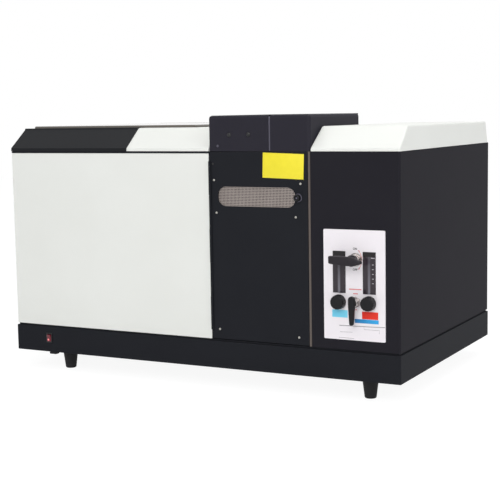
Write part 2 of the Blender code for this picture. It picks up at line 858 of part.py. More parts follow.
def make_hood():
    """Two folded covers stand round the open chimney, with a narrow seam between them."""
    hood_left = optics_right + fit
    side_end = bay_rear - fit
    seam_left = hood_left + hood_left_width
    folded_wall("hood_left_cover", [(hood_left, side_end), (hood_left, front), (seam_left, front)],
                lid_low, hood_top, hood_flange, sheet, hood_fold, black_paint)
    folded_wall("hood_right_cover",
                [(seam_left + hood_seam, front), (gas_left, front), (gas_left, side_end)],
                lid_low, hood_top, hood_flange, sheet, hood_fold, black_paint)


def make_door():
    """Folded door with the flame window, its perforated screen and a quarter-turn latch."""
    door_low = deck_top + door_low_gap
    door_top = body_top - door_top_gap
    axis_x = optics_right + 2 * fit + knuckle_radius
    axis_y = front - knuckle_radius + leaf_thick
    door = block("door_panel", (door_left, front, door_low), (door_right, front + flange, door_top),
                 black_paint, origin=(axis_x, axis_y, (door_low + door_top) / 2),
                 round_edges=fold_round / 4)
    tray = block("door back", (door_left + sheet, front + sheet, door_low + sheet),
                 (door_right - sheet, front + flange + overrun, door_top - sheet))
    slot_left = door_left + slot_from_door_left
    slot_right = slot_left + slot_width
    outline = rounded_rectangle((slot_left, slot_z - slot_height / 2),
                                (slot_right, slot_z + slot_height / 2),
                                slot_height * slot_corner_share)
    slot = prism("flame window", outline, front - overrun, front + overrun, "Y")
    knob_x = slot_right + knob_from_slot
    spindle_hole = rod("spindle hole", (knob_x, front - overrun, slot_z), "+Y", 2 * overrun,
                       latch_spindle_radius + fit, sides=round_sides)
    cut(door, tray, slot, spindle_hole)
    make_door_hinge(door, axis_x, axis_y, door_low, door_top)
    make_screen(slot_left, slot_right, knob_x)
    make_latch(knob_x, slot_z)


def make_door_hinge(door, axis_x, axis_y, door_low, door_top):
    """Fixed leaf on the left wall, with knuckles that the door's own knuckles alternate with."""
    start = door_low + (door_top - door_low) * door_hinge_share
    length = (door_top - door_low) * (1 - 2 * door_hinge_share)
    hinge = rod("door_hinge", (axis_x, axis_y, start - knuckle_gap), "+Z",
                length + 2 * knuckle_gap, pin_radius, black_paint, sides=pin_sides)
    leaf = block("door leaf", (optics_right + fit, axis_y - knuckle_radius / 3, start),
                 (optics_right + fit + leaf_thick, front + leaf_reach, start + length))
    fixed, moving, rooms = [leaf], [], []
    for number, (begin, end) in enumerate(knuckle_spans(start, length, door_knuckles)):
        knuckle = rod(f"door knuckle {number}", (axis_x, axis_y, begin), "+Z", end - begin,
                      knuckle_radius, sides=small_sides)
        if number % 2:
            moving.append(knuckle)
            cut(leaf, block(f"door leaf notch {number}",
                            (optics_right - overrun, axis_y - knuckle_radius, begin - knuckle_gap),
                            (optics_right + overrun, axis_y + knuckle_radius + knuckle_gap,
                             end + knuckle_gap)))
            continue
        fixed.append(knuckle)
        rooms.append(rod(f"knuckle room {number}", (axis_x, axis_y, begin - knuckle_gap), "+Z",
                         end - begin + 2 * knuckle_gap, knuckle_radius + knuckle_gap, sides=small_sides))
    bore = rod("door bore", (axis_x, axis_y, start - overrun), "+Z", length + 2 * overrun,
               pin_radius + pin_clearance, sides=small_sides)
    cut(fuse(cut(door, *rooms), *moving), bore)
    fuse(hinge, *fixed)


def make_screen(slot_left, slot_right, knob_x):
    """Perforated plate behind the flame window, its holes in even rows."""
    screen_y = front + sheet + fit
    screen = block("door_screen",
                   (slot_left - screen_margin_x, screen_y,
                    slot_z - slot_height / 2 - screen_margin_z),
                   (slot_right + screen_margin_x, screen_y + screen_thick,
                    slot_z + slot_height / 2 + screen_margin_z), zinc)
    columns = int((slot_width - screen_bar) / screen_pitch)
    rows = int((slot_height - screen_bar) / screen_pitch)
    hole = (screen_pitch - screen_bar) / 2
    bm = bmesh.new()
    for column in range(columns):
        for row in range(rows):
            x = (slot_left + slot_right) / 2 + (column - (columns - 1) / 2) * screen_pitch
            z = slot_z + (row - (rows - 1) / 2) * screen_pitch
            cube = bmesh.ops.create_cube(bm, size=1.0)["verts"]
            bmesh.ops.scale(bm, vec=(2 * hole, 2 * overrun, 2 * hole), verts=cube)
            bmesh.ops.translate(bm, vec=(x, screen_y, z), verts=cube)
    holes = add("screen holes", mesh_from(bm, "screen holes"), None, (0, 0, 0), True)
    passage = rod("screen spindle hole", (knob_x, screen_y - overrun, slot_z), "+Y", 2 * overrun,
                  latch_spindle_radius + 2 * fit, sides=round_sides)
    cut(screen, holes, passage)


def make_latch(knob_x, knob_z):
    """Latch knob; its spindle carries a cam that turns behind the strike of the right wall."""
    inner = -(flange + latch_cam_gap + latch_cam_thick)
    top = fit + latch_knob_length
    profile = [(0, top), (latch_knob_radius * latch_knob_rim_share, top),
               (latch_knob_radius, top * latch_knob_rim_share),
               (latch_knob_radius, fit), (latch_spindle_radius, fit),
               (latch_spindle_radius, inner), (0, inner)]
    knob = turned("door_knob", profile, (knob_x, front, knob_z), "-Y", black_plastic, sides=round_sides)
    cam = block("latch cam",
                (knob_x - latch_cam_width / 2, front + flange + latch_cam_gap,
                 knob_z - latch_cam_length),
                (knob_x + latch_cam_width / 2, front - inner, knob_z + latch_cam_width / 2))
    fuse(knob, cam)


def make_gas_case():
    """One sheet bent round the front and the right side, with its own sloped lid."""
    gas_inner = gas_left + fit
    wall_rear = rear - sheet - fit
    case = folded_wall("gas_case", [(gas_inner, front), (body_right, front),
                                    (body_right, wall_rear)],
                       panel_low, body_top, flange, sheet, fold_round, black_paint)
    low, high = panel_corners()
    margin = panel_backing_margin
    cut(case, block("control cut-out", (low[0] + margin, front - overrun, low[1] + margin),
                    (high[0] - margin, front + overrun, high[1] - margin)))
    sloped_cover("gas_lid", gas_inner, body_right, front, rear - lid_rear_inset, lid_low,
                 lid_lip, lid_top - lid_low, lid_set_back, lid_draw_in, sheet, fold_round,
                 white_paint)


def panel_corners():
    """Low left and high right corners of the control panel, as x and z."""
    low = (gas_left + (gas_width - panel_width) * panel_place_share,
           plinth_low + panel_above_plinth_low)
    return low, (low[0] + panel_width, low[1] + panel_height)


def make_controls():
    """Printed plate with two flowmeters, two needle valves and two lever valves."""
    low, high = panel_corners()
    middle = (low[0] + high[0]) / 2
    face = front - fit - panel_thick
    needle_z = low[1] + needle_above_panel_low
    valve_x = middle + valve_offset
    upper_z = low[1] + upper_valve_above_panel_low
    lower_z = low[1] + lower_valve_above_panel_low
    plate = prism("control_panel", rounded_rectangle(low, high, panel_corner, 2),
                  face, front - fit, "Y", panel_print)
    block_front = front + valve_block_back
    valve_block = block("gas_valve_block",
                        (middle - valve_block_width / 2, block_front, low[1] + valve_block_low),
                        (middle + valve_block_width / 2, block_front + valve_block_depth,
                         low[1] + valve_block_low + valve_block_height), aluminium)
    leg = block("valve block leg",
                (middle - valve_block_width / 2,
                 block_front + valve_block_depth - valve_leg_thick, deck_top + fit),
                (middle + valve_block_width / 2, block_front + valve_block_depth,
                 low[1] + valve_block_low + overrun))
    nuts = []
    for side, z in (("upper", upper_z), ("lower", lower_z)):
        nuts.append(rod(f"{side} valve bushing", (valve_x, face - fit - nut_thick / 2, z), "+Y",
                        block_front + overrun - face + fit + nut_thick / 2, bushing_radius,
                        sides=round_sides))
        nuts.append(rod(f"{side} valve nut", (valve_x, face - fit, z), "-Y", nut_thick,
                        nut_radius, sides=nut_flats))
    fuse(valve_block, leg, *nuts)
    for side, sign in (("left", -1), ("right", 1)):
        x = middle + sign * meter_offset
        meter_low = low[1] + meter_above_panel_low
        make_flowmeter(side, x, meter_low, face)
        window = block(f"meter window {side}",
                       (x - meter_width / 2 - fit, face - overrun, meter_low - fit),
                       (x + meter_width / 2 + fit, front + overrun, meter_low + meter_height + fit))
        stem_hole = rod(f"needle hole {side}", (x, face - overrun, needle_z), "+Y",
                        panel_thick + 2 * overrun, needle_spindle_radius + fit, sides=round_sides)
        seat = rod(f"needle seat {side}", (x, block_front - overrun, needle_z), "+Y",
                   overrun + spindle_in_block + fit, needle_spindle_radius + fit, sides=round_sides)
        cut(plate, window, stem_hole)
        cut(valve_block, seat)
        make_needle_knob(side, x, needle_z, face, block_front)
    for side, z in (("upper", upper_z), ("lower", lower_z)):
        cut(plate, rod(f"{side} valve hole", (valve_x, face - overrun, z), "+Y",
                       panel_thick + 2 * overrun, bushing_radius + fit))
        seat_front = face - fit - nut_thick - overrun
        cut(valve_block, rod(f"{side} valve seat", (valve_x, seat_front, z), "+Y",
                             block_front + spindle_in_block + fit - seat_front,
                             valve_spindle_radius + fit, sides=round_sides))
    make_upper_lever(valve_x, upper_z, face, block_front)
    make_lower_lever(valve_x, lower_z, face, block_front)


def make_flowmeter(side, x, meter_low, face):
    """Acrylic block with an upright bore, ports at its back, and a ball float in the bore."""
    meter_front = face - meter_proud
    body = block(f"flowmeter_{side}", (x - meter_width / 2, meter_front, meter_low),
                 (x + meter_width / 2, meter_front + meter_depth, meter_low + meter_height),
                 acrylic, round_edges=meter_proud / 2)
    bore_y = meter_front + meter_depth / 2
    bore_low = meter_low + meter_end_wall
    bore_length = meter_height - 2 * meter_end_wall
    bore = rod(f"meter bore {side}", (x, bore_y, bore_low), "+Z", bore_length,
               meter_bore_radius, sides=round_sides)
    ports = [rod(f"meter port {side} {end}", (x, bore_y, z), "+Y", meter_depth,
                 meter_port_radius, sides=pin_sides)
             for end, z in (("low", bore_low + 2 * meter_port_radius),
                            ("top", bore_low + bore_length - 2 * meter_port_radius))]
    cut(body, bore, *ports)
    bm = bmesh.new()
    bmesh.ops.create_uvsphere(bm, u_segments=pin_sides, v_segments=ball_rings,
                              radius=float_radius)
    add(f"meter_float_{side}", mesh_from(bm, f"meter_float_{side}", smooth=True), steel,
        (x, bore_y, bore_low + float_radius + fit), False)


def make_needle_knob(side, x, z, face, block_front):
    """Lobed knob on a spindle that reaches into the valve block."""
    back = face - needle_knob_gap
    outline = lobed_circle(needle_knob_radius, needle_knob_lobes, needle_lobe_share)
    knob = prism(f"flow_knob_{side}", outline, -needle_knob_length, 0, "Y", black_plastic)
    knob.location = (x, back, z)
    soften(knob, needle_knob_edge, segments=1, angle=lobe_edge_angle)
    spindle = rod(f"needle spindle {side}", (x, back - needle_knob_length / 2, z), "+Y",
                  block_front + spindle_in_block - back + needle_knob_length / 2,
                  needle_spindle_radius, sides=round_sides)
    fuse(knob, spindle)


def make_upper_lever(x, z, face, block_front):
    """Moulded lever: a broad arm to the left and a pointed nose to the right."""
    half = upper_lever_height / 2
    front_face = front - lever_reach
    shoulder, low_corner, high_corner = upper_lever_shares
    outline = [(-upper_lever_arm, -half), (upper_lever_nose * shoulder, -half),
               (upper_lever_nose, half * low_corner), (upper_lever_nose, half * high_corner),
               (upper_lever_nose * shoulder, half), (-upper_lever_arm, half)]
    lever = prism("fuel_valve_lever", outline, 0, upper_lever_thick, "Y", black_plastic)
    lever.location = (x, front_face, z)
    soften(lever, upper_lever_edge)
    hub_start = front_face + upper_lever_thick / 2
    hub = rod("upper hub", (x, hub_start, z), "+Y", face - 2 * fit - nut_thick - hub_start,
              lever_hub_radius)
    spindle = rod("upper spindle", (x, hub_start, z), "+Y",
                  block_front + spindle_in_block - hub_start, valve_spindle_radius, sides=round_sides)
    fuse(lever, hub, spindle)


def make_lower_lever(x, z, face, block_front):
    """Slim tapered lever that hangs down at rest."""
    back = face - lower_lever_back
    top, tip = lower_lever_top_width / 2, lower_lever_tip_width / 2
    head = top * lower_lever_head_share
    outline = [(-tip, -lower_lever_arm), (tip, -lower_lever_arm), (top, 0),
               (top, lower_lever_shoulder), (head, lower_lever_head), (-head, lower_lever_head),
               (-top, lower_lever_shoulder), (-top, 0)]
    lever = prism("air_valve_lever", outline, -lower_lever_thick, 0, "Y", black_plastic)
    lever.location = (x, back, z)
    soften(lever, lower_lever_edge)
    hub_start = back - lower_lever_thick / 2
    hub = rod("lower hub", (x, hub_start, z), "+Y", face - 2 * fit - nut_thick - hub_start,
              lower_lever_hub_radius)
    spindle = rod("lower spindle", (x, hub_start, z), "+Y",
                  block_front + spindle_in_block - hub_start, valve_spindle_radius, sides=round_sides)
    fuse(lever, hub, spindle)


def make_light_path():
    """A window in the gas section's side of the burner bay and a lens tube on the other side."""
    rod("beam_window", (gas_left + fit, beam_y, beam_z), "+X", window_thick, window_radius, glass)
    middle = lens_tube_length * lens_place_share
    profile = [(0, middle + lens_thick), (lens_bore_radius, middle + lens_thick),
               (lens_bore_radius, lens_tube_length), (lens_tube_radius, lens_tube_length),
               (lens_tube_radius, lens_flange_thick), (lens_flange_radius, lens_flange_thick),
               (lens_flange_radius, 0), (lens_bore_radius, 0), (lens_bore_radius, middle),
               (0, middle)]
    turned("lens_tube", profile, (optics_right - sheet - fit, beam_y, beam_z), "-X", aluminium,
           sides=disc_sides)


def make_lamp_turret():
    """A spool of two discs that holds the lamps; its shaft turns in a stand with a motor."""
    axis_z = beam_z - turret_circle
    stand_x = body_left + turret_from_left
    rear_disc_x = stand_x + stand_thick + turret_gap
    lamp_x = rear_disc_x + turret_disc_thick
    half = stand_width / 2
    stand = block("turret_stand", (stand_x, beam_y - half, deck_top + fit),
                  (stand_x + stand_thick, beam_y + half, axis_z + stand_head), aluminium)
    foot = block("stand foot", (stand_x - stand_foot, beam_y - half, deck_top + fit),
                 (stand_x + stand_thick, beam_y + half, deck_top + fit + stand_thick / 2))
    motor = block("turret motor",
                  (stand_x - turret_motor_length, beam_y - turret_motor / 2,
                   axis_z - turret_motor / 2),
                  (stand_x + stand_thick / 4, beam_y + turret_motor / 2,
                   axis_z + turret_motor / 2))
    bore = rod("stand bore", (stand_x + stand_thick / 3, beam_y, axis_z), "+X", stand_thick,
               turret_shaft_radius + fit)
    cut(fuse(stand, foot, motor), bore)
    centre = (rear_disc_x, beam_y, axis_z)
    turret = rod("lamp_turret", centre, "+X", turret_disc_thick, turret_disc_radius, aluminium,
                 sides=disc_sides)
    shaft_x = stand_x + stand_thick / 3 + fit
    shaft = rod("turret shaft", (shaft_x, beam_y, axis_z), "+X",
                lamp_x + turret_front_disc - shaft_x, turret_shaft_radius, sides=round_sides)
    front_disc = rod("front disc", (lamp_x + turret_front_disc - turret_disc_thick, beam_y, axis_z),
                     "+X", turret_disc_thick, turret_disc_radius, sides=disc_sides)
    cups, wells, passages = [], [], []
    for y, z in lamp_places(axis_z):
        cups.append(rod("lamp cup", (lamp_x - turret_disc_thick / 2, y, z), "+X",
                        turret_cup_depth + turret_disc_thick / 2,
                        lamp_base_radius + fit + turret_cup_wall, sides=small_sides))
        wells.append(rod("lamp well", (lamp_x, y, z), "+X", turret_cup_depth + overrun,
                         lamp_base_radius + 3 * fit, sides=small_sides))
        passages.append(rod("lamp passage", (lamp_x + turret_front_disc - 2 * turret_disc_thick, y, z),
                            "+X", 2 * turret_disc_thick + overrun, lamp_radius + 3 * fit,
                            sides=small_sides))
    cut(fuse(turret, shaft, front_disc, *cups), *wells, *passages)
    make_lamps(lamp_x, axis_z)


def lamp_places(axis_z):
    """Centres of the lamps round the turret's axis; the first one is in the beam."""
    for number in range(lamp_count):
        angle = math.pi / 2 + 2 * math.pi * number / lamp_count
        yield beam_y + turret_circle * math.cos(angle), axis_z + turret_circle * math.sin(angle)


def make_lamps(lamp_x, axis_z):
    """Hollow-cathode lamps: a socket, a glass bulb and a narrower window neck each."""
    shoulder = lamp_length - lamp_neck_length
    profile = [(0, lamp_length), (lamp_neck_radius, lamp_length), (lamp_neck_radius, shoulder),
               (lamp_radius, shoulder - lamp_neck_radius), (lamp_radius, lamp_base_length),
               (lamp_base_radius, lamp_base_length), (lamp_base_radius, 0), (0, 0)]
    for number, (y, z) in enumerate(lamp_places(axis_z), start=1):
        turned(f"hollow_cathode_lamp_{number}", profile, (lamp_x + fit, y, z), "+X", glass,
               sides=round_sides)


def make_optics_boxes():
    """Background lamp housing and power supply on the deck of the left section."""
    x = optics_right - sheet - background_lamp_from_wall - background_lamp_size
    y = beam_y + background_lamp_behind_beam
    half = background_lamp_size / 2
    lamp = block("background_lamp", (x, y - half, deck_top + fit),
                 (x + background_lamp_size, y + half, beam_z + half), black_paint,
                 round_edges=fold_round / 2, segments=1)
    vent = rod("lamp vent", (x + half, y, beam_z), "+Z", half + background_lamp_vent_height,
               background_lamp_vent_radius)
    snout = rod("lamp snout", (x + half, y, beam_z), "-Y", half + background_lamp_vent_height,
                background_lamp_vent_radius)
    mouth = rod("vent mouth", (x + half, y, beam_z + half), "+Z",
                background_lamp_vent_height + overrun, background_lamp_vent_radius * vent_bore_share)
    cut(fuse(lamp, vent, snout), mouth)
    low = (body_left + supply_from_left, rear - supply_from_rear - supply_depth, deck_top + fit)
    supply = block("power_supply", low, (low[0] + supply_width, low[1] + supply_depth,
                                         low[2] + supply_height), aluminium)
    pitch = supply_width / (2 * supply_fins + 1)
    for number in range(supply_fins):
        x_low = low[0] + pitch * (2 * number + 1)
        cut(supply, block(f"supply groove {number}",
                          (x_low, low[1] - overrun,
                           low[2] + supply_height * (1 - supply_fin_share)),
                          (x_low + pitch, low[1] + supply_depth + overrun,
                           low[2] + supply_height + overrun)))


def make_board():
    """Circuit board on four posts, with its parts and the data port that looks out behind."""
    x = body_left + supply_from_left + supply_width + board_from_supply
    board_width = optics_right - sheet - board_from_wall - x
    y = rear - sheet - board_from_rear - board_depth
    z = deck_top + fit + board_stand_off
    board = block("main_board", (x, y, z), (x + board_width, y + board_depth, z + board_thick),
                  green_board)
    extras = []
    for side_x in (x + board_post_inset, x + board_width - board_post_inset):
        for side_y in (y + board_post_inset, y + board_depth - board_post_inset):
            extras.append(rod("board post", (side_x, side_y, deck_top + fit), "+Z",
                              board_stand_off + board_thick / 2, board_post_radius, sides=small_sides))
    for share_x, share_y, wide, deep, tall in board_part_shares:
        cx, cy = x + board_width * share_x, y + board_depth * share_y
        extras.append(block("board part",
                            (cx - board_width * wide / 2, cy - board_depth * deep / 2,
                             z + board_thick / 2),
                            (cx + board_width * wide / 2, cy + board_depth * deep / 2,
                             z + board_thick + board_width * tall)))
    port_x = x + board_width * port_share
    port_z = z + board_thick / 2 + port_height / 2
    half = port_width / 2
    extras.append(block("port body", (port_x - half, rear - sheet - fit - port_depth,
                                      port_z - port_height / 2),
                        (port_x + half, rear - sheet - fit, port_z + port_height / 2)))
    wide, tall = port_shell_width / 2, port_shell_height / 2
    outline = [(port_x - wide * port_taper_share, port_z - tall),
               (port_x + wide * port_taper_share, port_z - tall),
               (port_x + wide, port_z + tall), (port_x - wide, port_z + tall)]
    extras.append(prism("port shell", outline, rear - 2 * sheet, rear + port_proud, "Y"))
    inner = [(port_x + (a - port_x) * port_inner_share, port_z + (b - port_z) * port_inner_share)
             for a, b in outline]
    mouth = prism("port mouth", inner, rear, rear + port_proud + overrun, "Y")
    cut(fuse(board, *extras), mouth)
    return block("port hole", (port_x - wide - fit, rear - overrun, port_z - tall - fit),
                 (port_x + wide + fit, rear + overrun, port_z + tall + fit))


def make_detection():
    """Monochromator on four posts in line with the beam, with its detector at the back."""
    middle = (gas_left + body_right - sheet) / 2
    half = (gas_width - sheet) / 2 - mono_side_gap
    low = (middle - half, front + mono_from_front, beam_z - mono_below_beam)
    high = (middle + half, low[1] + mono_depth, low[2] + mono_height)
    case = block("monochromator", low, high, aluminium, round_edges=mono_edge, segments=1)
    posts = [rod("mono post", (x, y, deck_top + fit), "+Z", low[2] - deck_top + overrun,
                 mono_post_radius, sides=pin_sides)
             for x in (low[0] + mono_post_inset, high[0] - mono_post_inset)
             for y in (low[1] + mono_post_inset, high[1] - mono_post_inset)]
    slit_start = gas_left + fit + window_thick + fit
    slit_tube = rod("slit tube", (slit_start, beam_y, beam_z), "+X",
                    low[0] - slit_start + mono_edge, mono_tube_radius)
    slit = rod("slit bore", (slit_start - overrun, beam_y, beam_z), "+X",
               low[0] - slit_start + overrun, mono_tube_radius * slit_bore_share)
    detector = rod("detector", (middle, high[1] - overrun, (low[2] + high[2]) / 2), "+Y",
                   detector_length + overrun, detector_radius)
    cap = rod("detector cap", (middle, high[1] + detector_length - detector_cap,
                               (low[2] + high[2]) / 2), "+Y", 2 * detector_cap,
              detector_radius + detector_cap / 4)
    cut(fuse(case, slit_tube, detector, cap, *posts), slit)


def burner_heights():
    """Heights of the burner's base, the chamber's axis and the carriage's middle."""
    head_low = beam_z - burner_below_beam - burner_head_height
    stem_low = head_low - stem_length
    chamber_z = stem_low - fit - chamber_neck_height - chamber_radius
    return head_low, stem_low, chamber_z, deck_top + carriage_above_deck + carriage_height / 2


def make_burner():
    """Slot burner on the neck of the spray chamber, with the nebuliser at its front."""
    head_low, stem_low, chamber_z, carriage_z = burner_heights()
    half, narrow = burner_base_width / 2, burner_top_width / 2
    shoulder = head_low + burner_head_height * burner_shoulder_share
    top = head_low + burner_head_height
    outline = [(beam_y - half, head_low), (beam_y + half, head_low), (beam_y + half, shoulder),
               (beam_y + narrow, top), (beam_y - narrow, top), (beam_y - half, shoulder)]
    head = prism("burner_head", outline, burner_x - burner_length / 2,
                 burner_x + burner_length / 2, "X", steel)
    slot = block("burner slot", (burner_x - burner_slot_length / 2, beam_y - burner_slot_width / 2,
                                 top - burner_slot_depth),
                 (burner_x + burner_slot_length / 2, beam_y + burner_slot_width / 2,
                  top + overrun))
    stem = rod("burner stem", (burner_x, beam_y, stem_low), "+Z", stem_length + overrun,
               stem_radius)
    stem_bore = rod("stem bore", (burner_x, beam_y, stem_low - overrun), "+Z",
                    overrun + stem_length + burner_head_height - burner_slot_depth + overrun / 2,
                    stem_bore_radius)
    cut(fuse(head, stem), slot, stem_bore)
    guide_y = beam_y + guide_behind_beam
    cradle_front = guide_y - carriage_depth / 2 - cradle_thick
    chamber_front = front + chamber_front_margin
    tube_start = chamber_front + chamber_cap_length / 2
    chamber = rod("spray_chamber", (burner_x, tube_start, chamber_z), "+Y",
                  cradle_front - fit - tube_start, chamber_radius, grey_plastic, sides=chamber_sides)
    cap = rod("chamber cap", (burner_x, chamber_front, chamber_z), "+Y", chamber_cap_length,
              chamber_cap_radius, sides=chamber_sides)
    inside = chamber_radius / 3
    neck = rod("chamber neck", (burner_x, beam_y, chamber_z + inside), "+Z",
               chamber_radius + chamber_neck_height - inside, chamber_neck_radius)
    neck_bore = rod("neck bore", (burner_x, beam_y, chamber_z + inside), "+Z",
                    chamber_radius + chamber_neck_height, stem_bore_radius)
    drain_y = cradle_front - drain_from_rear
    drain = rod("chamber drain", (burner_x, drain_y, chamber_z - inside), "-Z",
                chamber_radius + drain_length - inside, drain_radius, sides=round_sides)
    drain_bore = rod("drain bore", (burner_x, drain_y, chamber_z - inside), "-Z",
                     chamber_radius + drain_length, drain_radius * drain_bore_share, sides=round_sides)
    cut(fuse(chamber, cap, neck, drain), neck_bore, drain_bore)
    profile = [(0, nebuliser_length), (capillary_radius, nebuliser_length),
               (capillary_radius, nebuliser_length * nebuliser_shares[0]),
               (nebuliser_radius * nebuliser_shares[1], nebuliser_length * nebuliser_shares[0]),
               (nebuliser_radius * nebuliser_shares[1], nebuliser_length * nebuliser_shares[2]),
               (nebuliser_radius, nebuliser_length * nebuliser_shares[3]),
               (nebuliser_radius, fit), (0, fit)]
    turned("nebuliser", profile, (burner_x, chamber_front, chamber_z), "-Y", brass, sides=round_sides)
    make_carriage(guide_y, cradle_front, chamber_z, carriage_z)


def make_carriage(guide_y, cradle_front, chamber_z, carriage_z):
    """Carriage that slides on two rods, with the cradle plate in front and a rack at its right."""
    half = carriage_height / 2
    carriage = block("burner_carriage",
                     (burner_x - carriage_width / 2, guide_y - carriage_depth / 2,
                      carriage_z - half),
                     (burner_x + carriage_width / 2, guide_y + carriage_depth / 2,
                      carriage_z + half), aluminium)
    cradle = block("cradle", (burner_x - cradle_width / 2, cradle_front, carriage_z - half),
                   (burner_x + cradle_width / 2, guide_y - carriage_depth / 4,
                    chamber_z + chamber_cap_radius))
    trim = block("cradle trim", (burner_x - cradle_width, guide_y - carriage_depth / 2,
                                 carriage_z + half),
                 (burner_x + cradle_width, guide_y + carriage_depth, chamber_z + cradle_width))
    bushes = [rod("bush", (burner_x + side * guide_rod_spacing / 2, guide_y,
                           carriage_z - half - overrun), "+Z", carriage_height + 2 * overrun,
                  guide_rod_radius + carriage_bush_gap, sides=round_sides)
              for side in (-1, 1)]
    root_x = burner_x + carriage_width / 2 + rack_thick
    rack = prism("rack", rack_outline(root_x, carriage_z), guide_y - rack_depth / 2,
                 guide_y + rack_depth / 2, "Y")
    cut(fuse(cut(fuse(carriage, cradle), trim), rack), *bushes)
    make_guide(guide_y, carriage_z, root_x)


def rack_outline(root_x, middle_z):
    """Straight-sided teeth, as x and z, with a tooth on the pinion's centre line."""
    pitch = math.pi * tooth_module
    lean = math.tan(pressure_angle)
    deep, high = tooth_module * dedendum_share, tooth_module - tooth_tip_clearance
    half_at_pitch = pitch / 4 - tooth_backlash / 4
    half_root, half_tip = half_at_pitch + deep * lean, half_at_pitch - high * lean
    low = middle_z - pitch * rack_teeth / 2
    points = [(root_x - rack_thick * rack_seat_share, low)]
    for tooth in range(rack_teeth):
        z = low + pitch * (2 * tooth + 1) / 2
        points += [(root_x, z - half_root), (root_x + deep + high, z - half_tip),
                   (root_x + deep + high, z + half_tip), (root_x, z + half_root)]
    points.append((root_x - rack_thick * rack_seat_share, low + pitch * rack_teeth))
    return points


def pinion_outline():
    """Involute teeth about the origin, with a gap that faces the rack at the left."""
    pitch_radius = tooth_module * pinion_teeth / 2
    base = pitch_radius * math.cos(pressure_angle)
    tip = pitch_radius + tooth_module - tooth_tip_clearance
    root = pitch_radius - tooth_module * dedendum_share

    def roll(radius):
        angle = math.acos(min(1, base / radius))
        return math.tan(angle) - angle

    half = math.pi / (2 * pinion_teeth) - tooth_backlash / (4 * pitch_radius)
    radii = (root, pitch_radius, tip)
    points = []
    for tooth in range(pinion_teeth):
        centre = math.pi + math.pi * (2 * tooth + 1) / pinion_teeth
        flank = [(radius, half + roll(pitch_radius) - roll(max(radius, base)))
                 for radius in radii]
        for radius, angle in flank:
            points.append((radius * math.cos(centre - angle), radius * math.sin(centre - angle)))
        for radius, angle in flank[::-1]:
            points.append((radius * math.cos(centre + angle), radius * math.sin(centre + angle)))
    return points


def make_guide(guide_y, carriage_z, root_x):
    """Base with two rods, a tie bar and the bearing of the pinion's spindle."""
    pinion_x = root_x + tooth_module * dedendum_share + tooth_module * pinion_teeth / 2
    base_low = deck_top + fit
    bearing_rear = guide_y - carriage_depth / 2 - lift_bearing_from_carriage
    bearing_front = bearing_rear - lift_bearing_length
    reach = lift_spindle_radius + fit + lift_bearing_wall
    base = block("burner_guide", (burner_x - carriage_width / 2, bearing_front, base_low),
                 (pinion_x + reach, guide_y + guide_base_depth / 2, base_low + guide_base_height),
                 aluminium)
    rods = [rod("guide rod", (burner_x + side * guide_rod_spacing / 2, guide_y,
                              base_low + guide_base_height / 2), "+Z", guide_height,
                guide_rod_radius, sides=round_sides)
            for side in (-1, 1)]
    tie_low = base_low + guide_height
    tie = block("guide tie", (burner_x - carriage_width / 2, guide_y - guide_tie_depth / 2, tie_low),
                (burner_x + carriage_width / 2, guide_y + guide_tie_depth / 2,
                 tie_low + guide_tie_height))
    bearing = block("knob bearing", (pinion_x - reach, bearing_front, base_low),
                    (pinion_x + reach, bearing_rear, carriage_z + reach))
    bore = rod("bearing bore", (pinion_x, bearing_front - overrun, carriage_z), "+Y",
               lift_bearing_length + 2 * overrun, lift_spindle_radius + fit, sides=round_sides)
    cut(fuse(base, tie, bearing, *rods), bore)
    make_lift_knob(pinion_x, guide_y, carriage_z)


def make_lift_knob(pinion_x, guide_y, carriage_z):
    """Height knob with its spindle and the pinion that meets the carriage's rack."""
    knob_front = front + lift_knob_behind_front
    outline = lobed_circle(lift_knob_radius, lift_knob_lobes, needle_lobe_share)
    knob = prism("lift_knob", outline, 0, lift_knob_length, "Y", black_plastic)
    knob.location = (pinion_x, knob_front, carriage_z)
    spindle = rod("lift spindle", (pinion_x, knob_front + lift_knob_length / 2, carriage_z), "+Y",
                  guide_y + rack_depth / 2 - knob_front - lift_knob_length / 2,
                  lift_spindle_radius, sides=round_sides)
    pinion = prism("pinion", shifted(pinion_outline(), pinion_x, carriage_z),
                   guide_y - rack_depth / 2, guide_y + rack_depth / 2, "Y")
    fuse(knob, spindle, pinion)


def make_drip_tray():
    """Shallow stainless tray on the deck under the burner."""
    low = (optics_right + tray_margin, front + tray_from_front, deck_top + fit)
    high = (gas_left - sheet - tray_margin, low[1] + tray_depth, low[2] + tray_height)
    tray = block("drip_tray", low, high, steel)
    inside = block("tray inside", (low[0] + sheet, low[1] + sheet, low[2] + sheet),
                   (high[0] - sheet, high[1] - sheet, high[2] + overrun))
    cut(tray, inside)


def make_rear_panel():
    """Rear sheet with louvres, the fan, the mains inlet, a data port and the gas inlets."""
    panel = block("rear_panel", (body_left, rear - sheet, panel_low), (body_right, rear, body_top),
                  black_paint)
    for group, x in enumerate((body_left + louvre_from_left, body_right - louvre_from_right)):
        for number in range(louvre_count):
            z = body_top - louvre_below_top + number * louvre_pitch
            cut(panel, block(f"louvre {group} {number}",
                             (x - louvre_length / 2, rear - overrun, z),
                             (x + louvre_length / 2, rear + overrun, z + louvre_slot)))
    make_fan(panel, optics_right - sheet - fan_from_wall - fan_size / 2)
    make_inlet(panel, body_left + inlet_from_left)
    cut(panel, make_board())
    make_gas_inlets(panel)


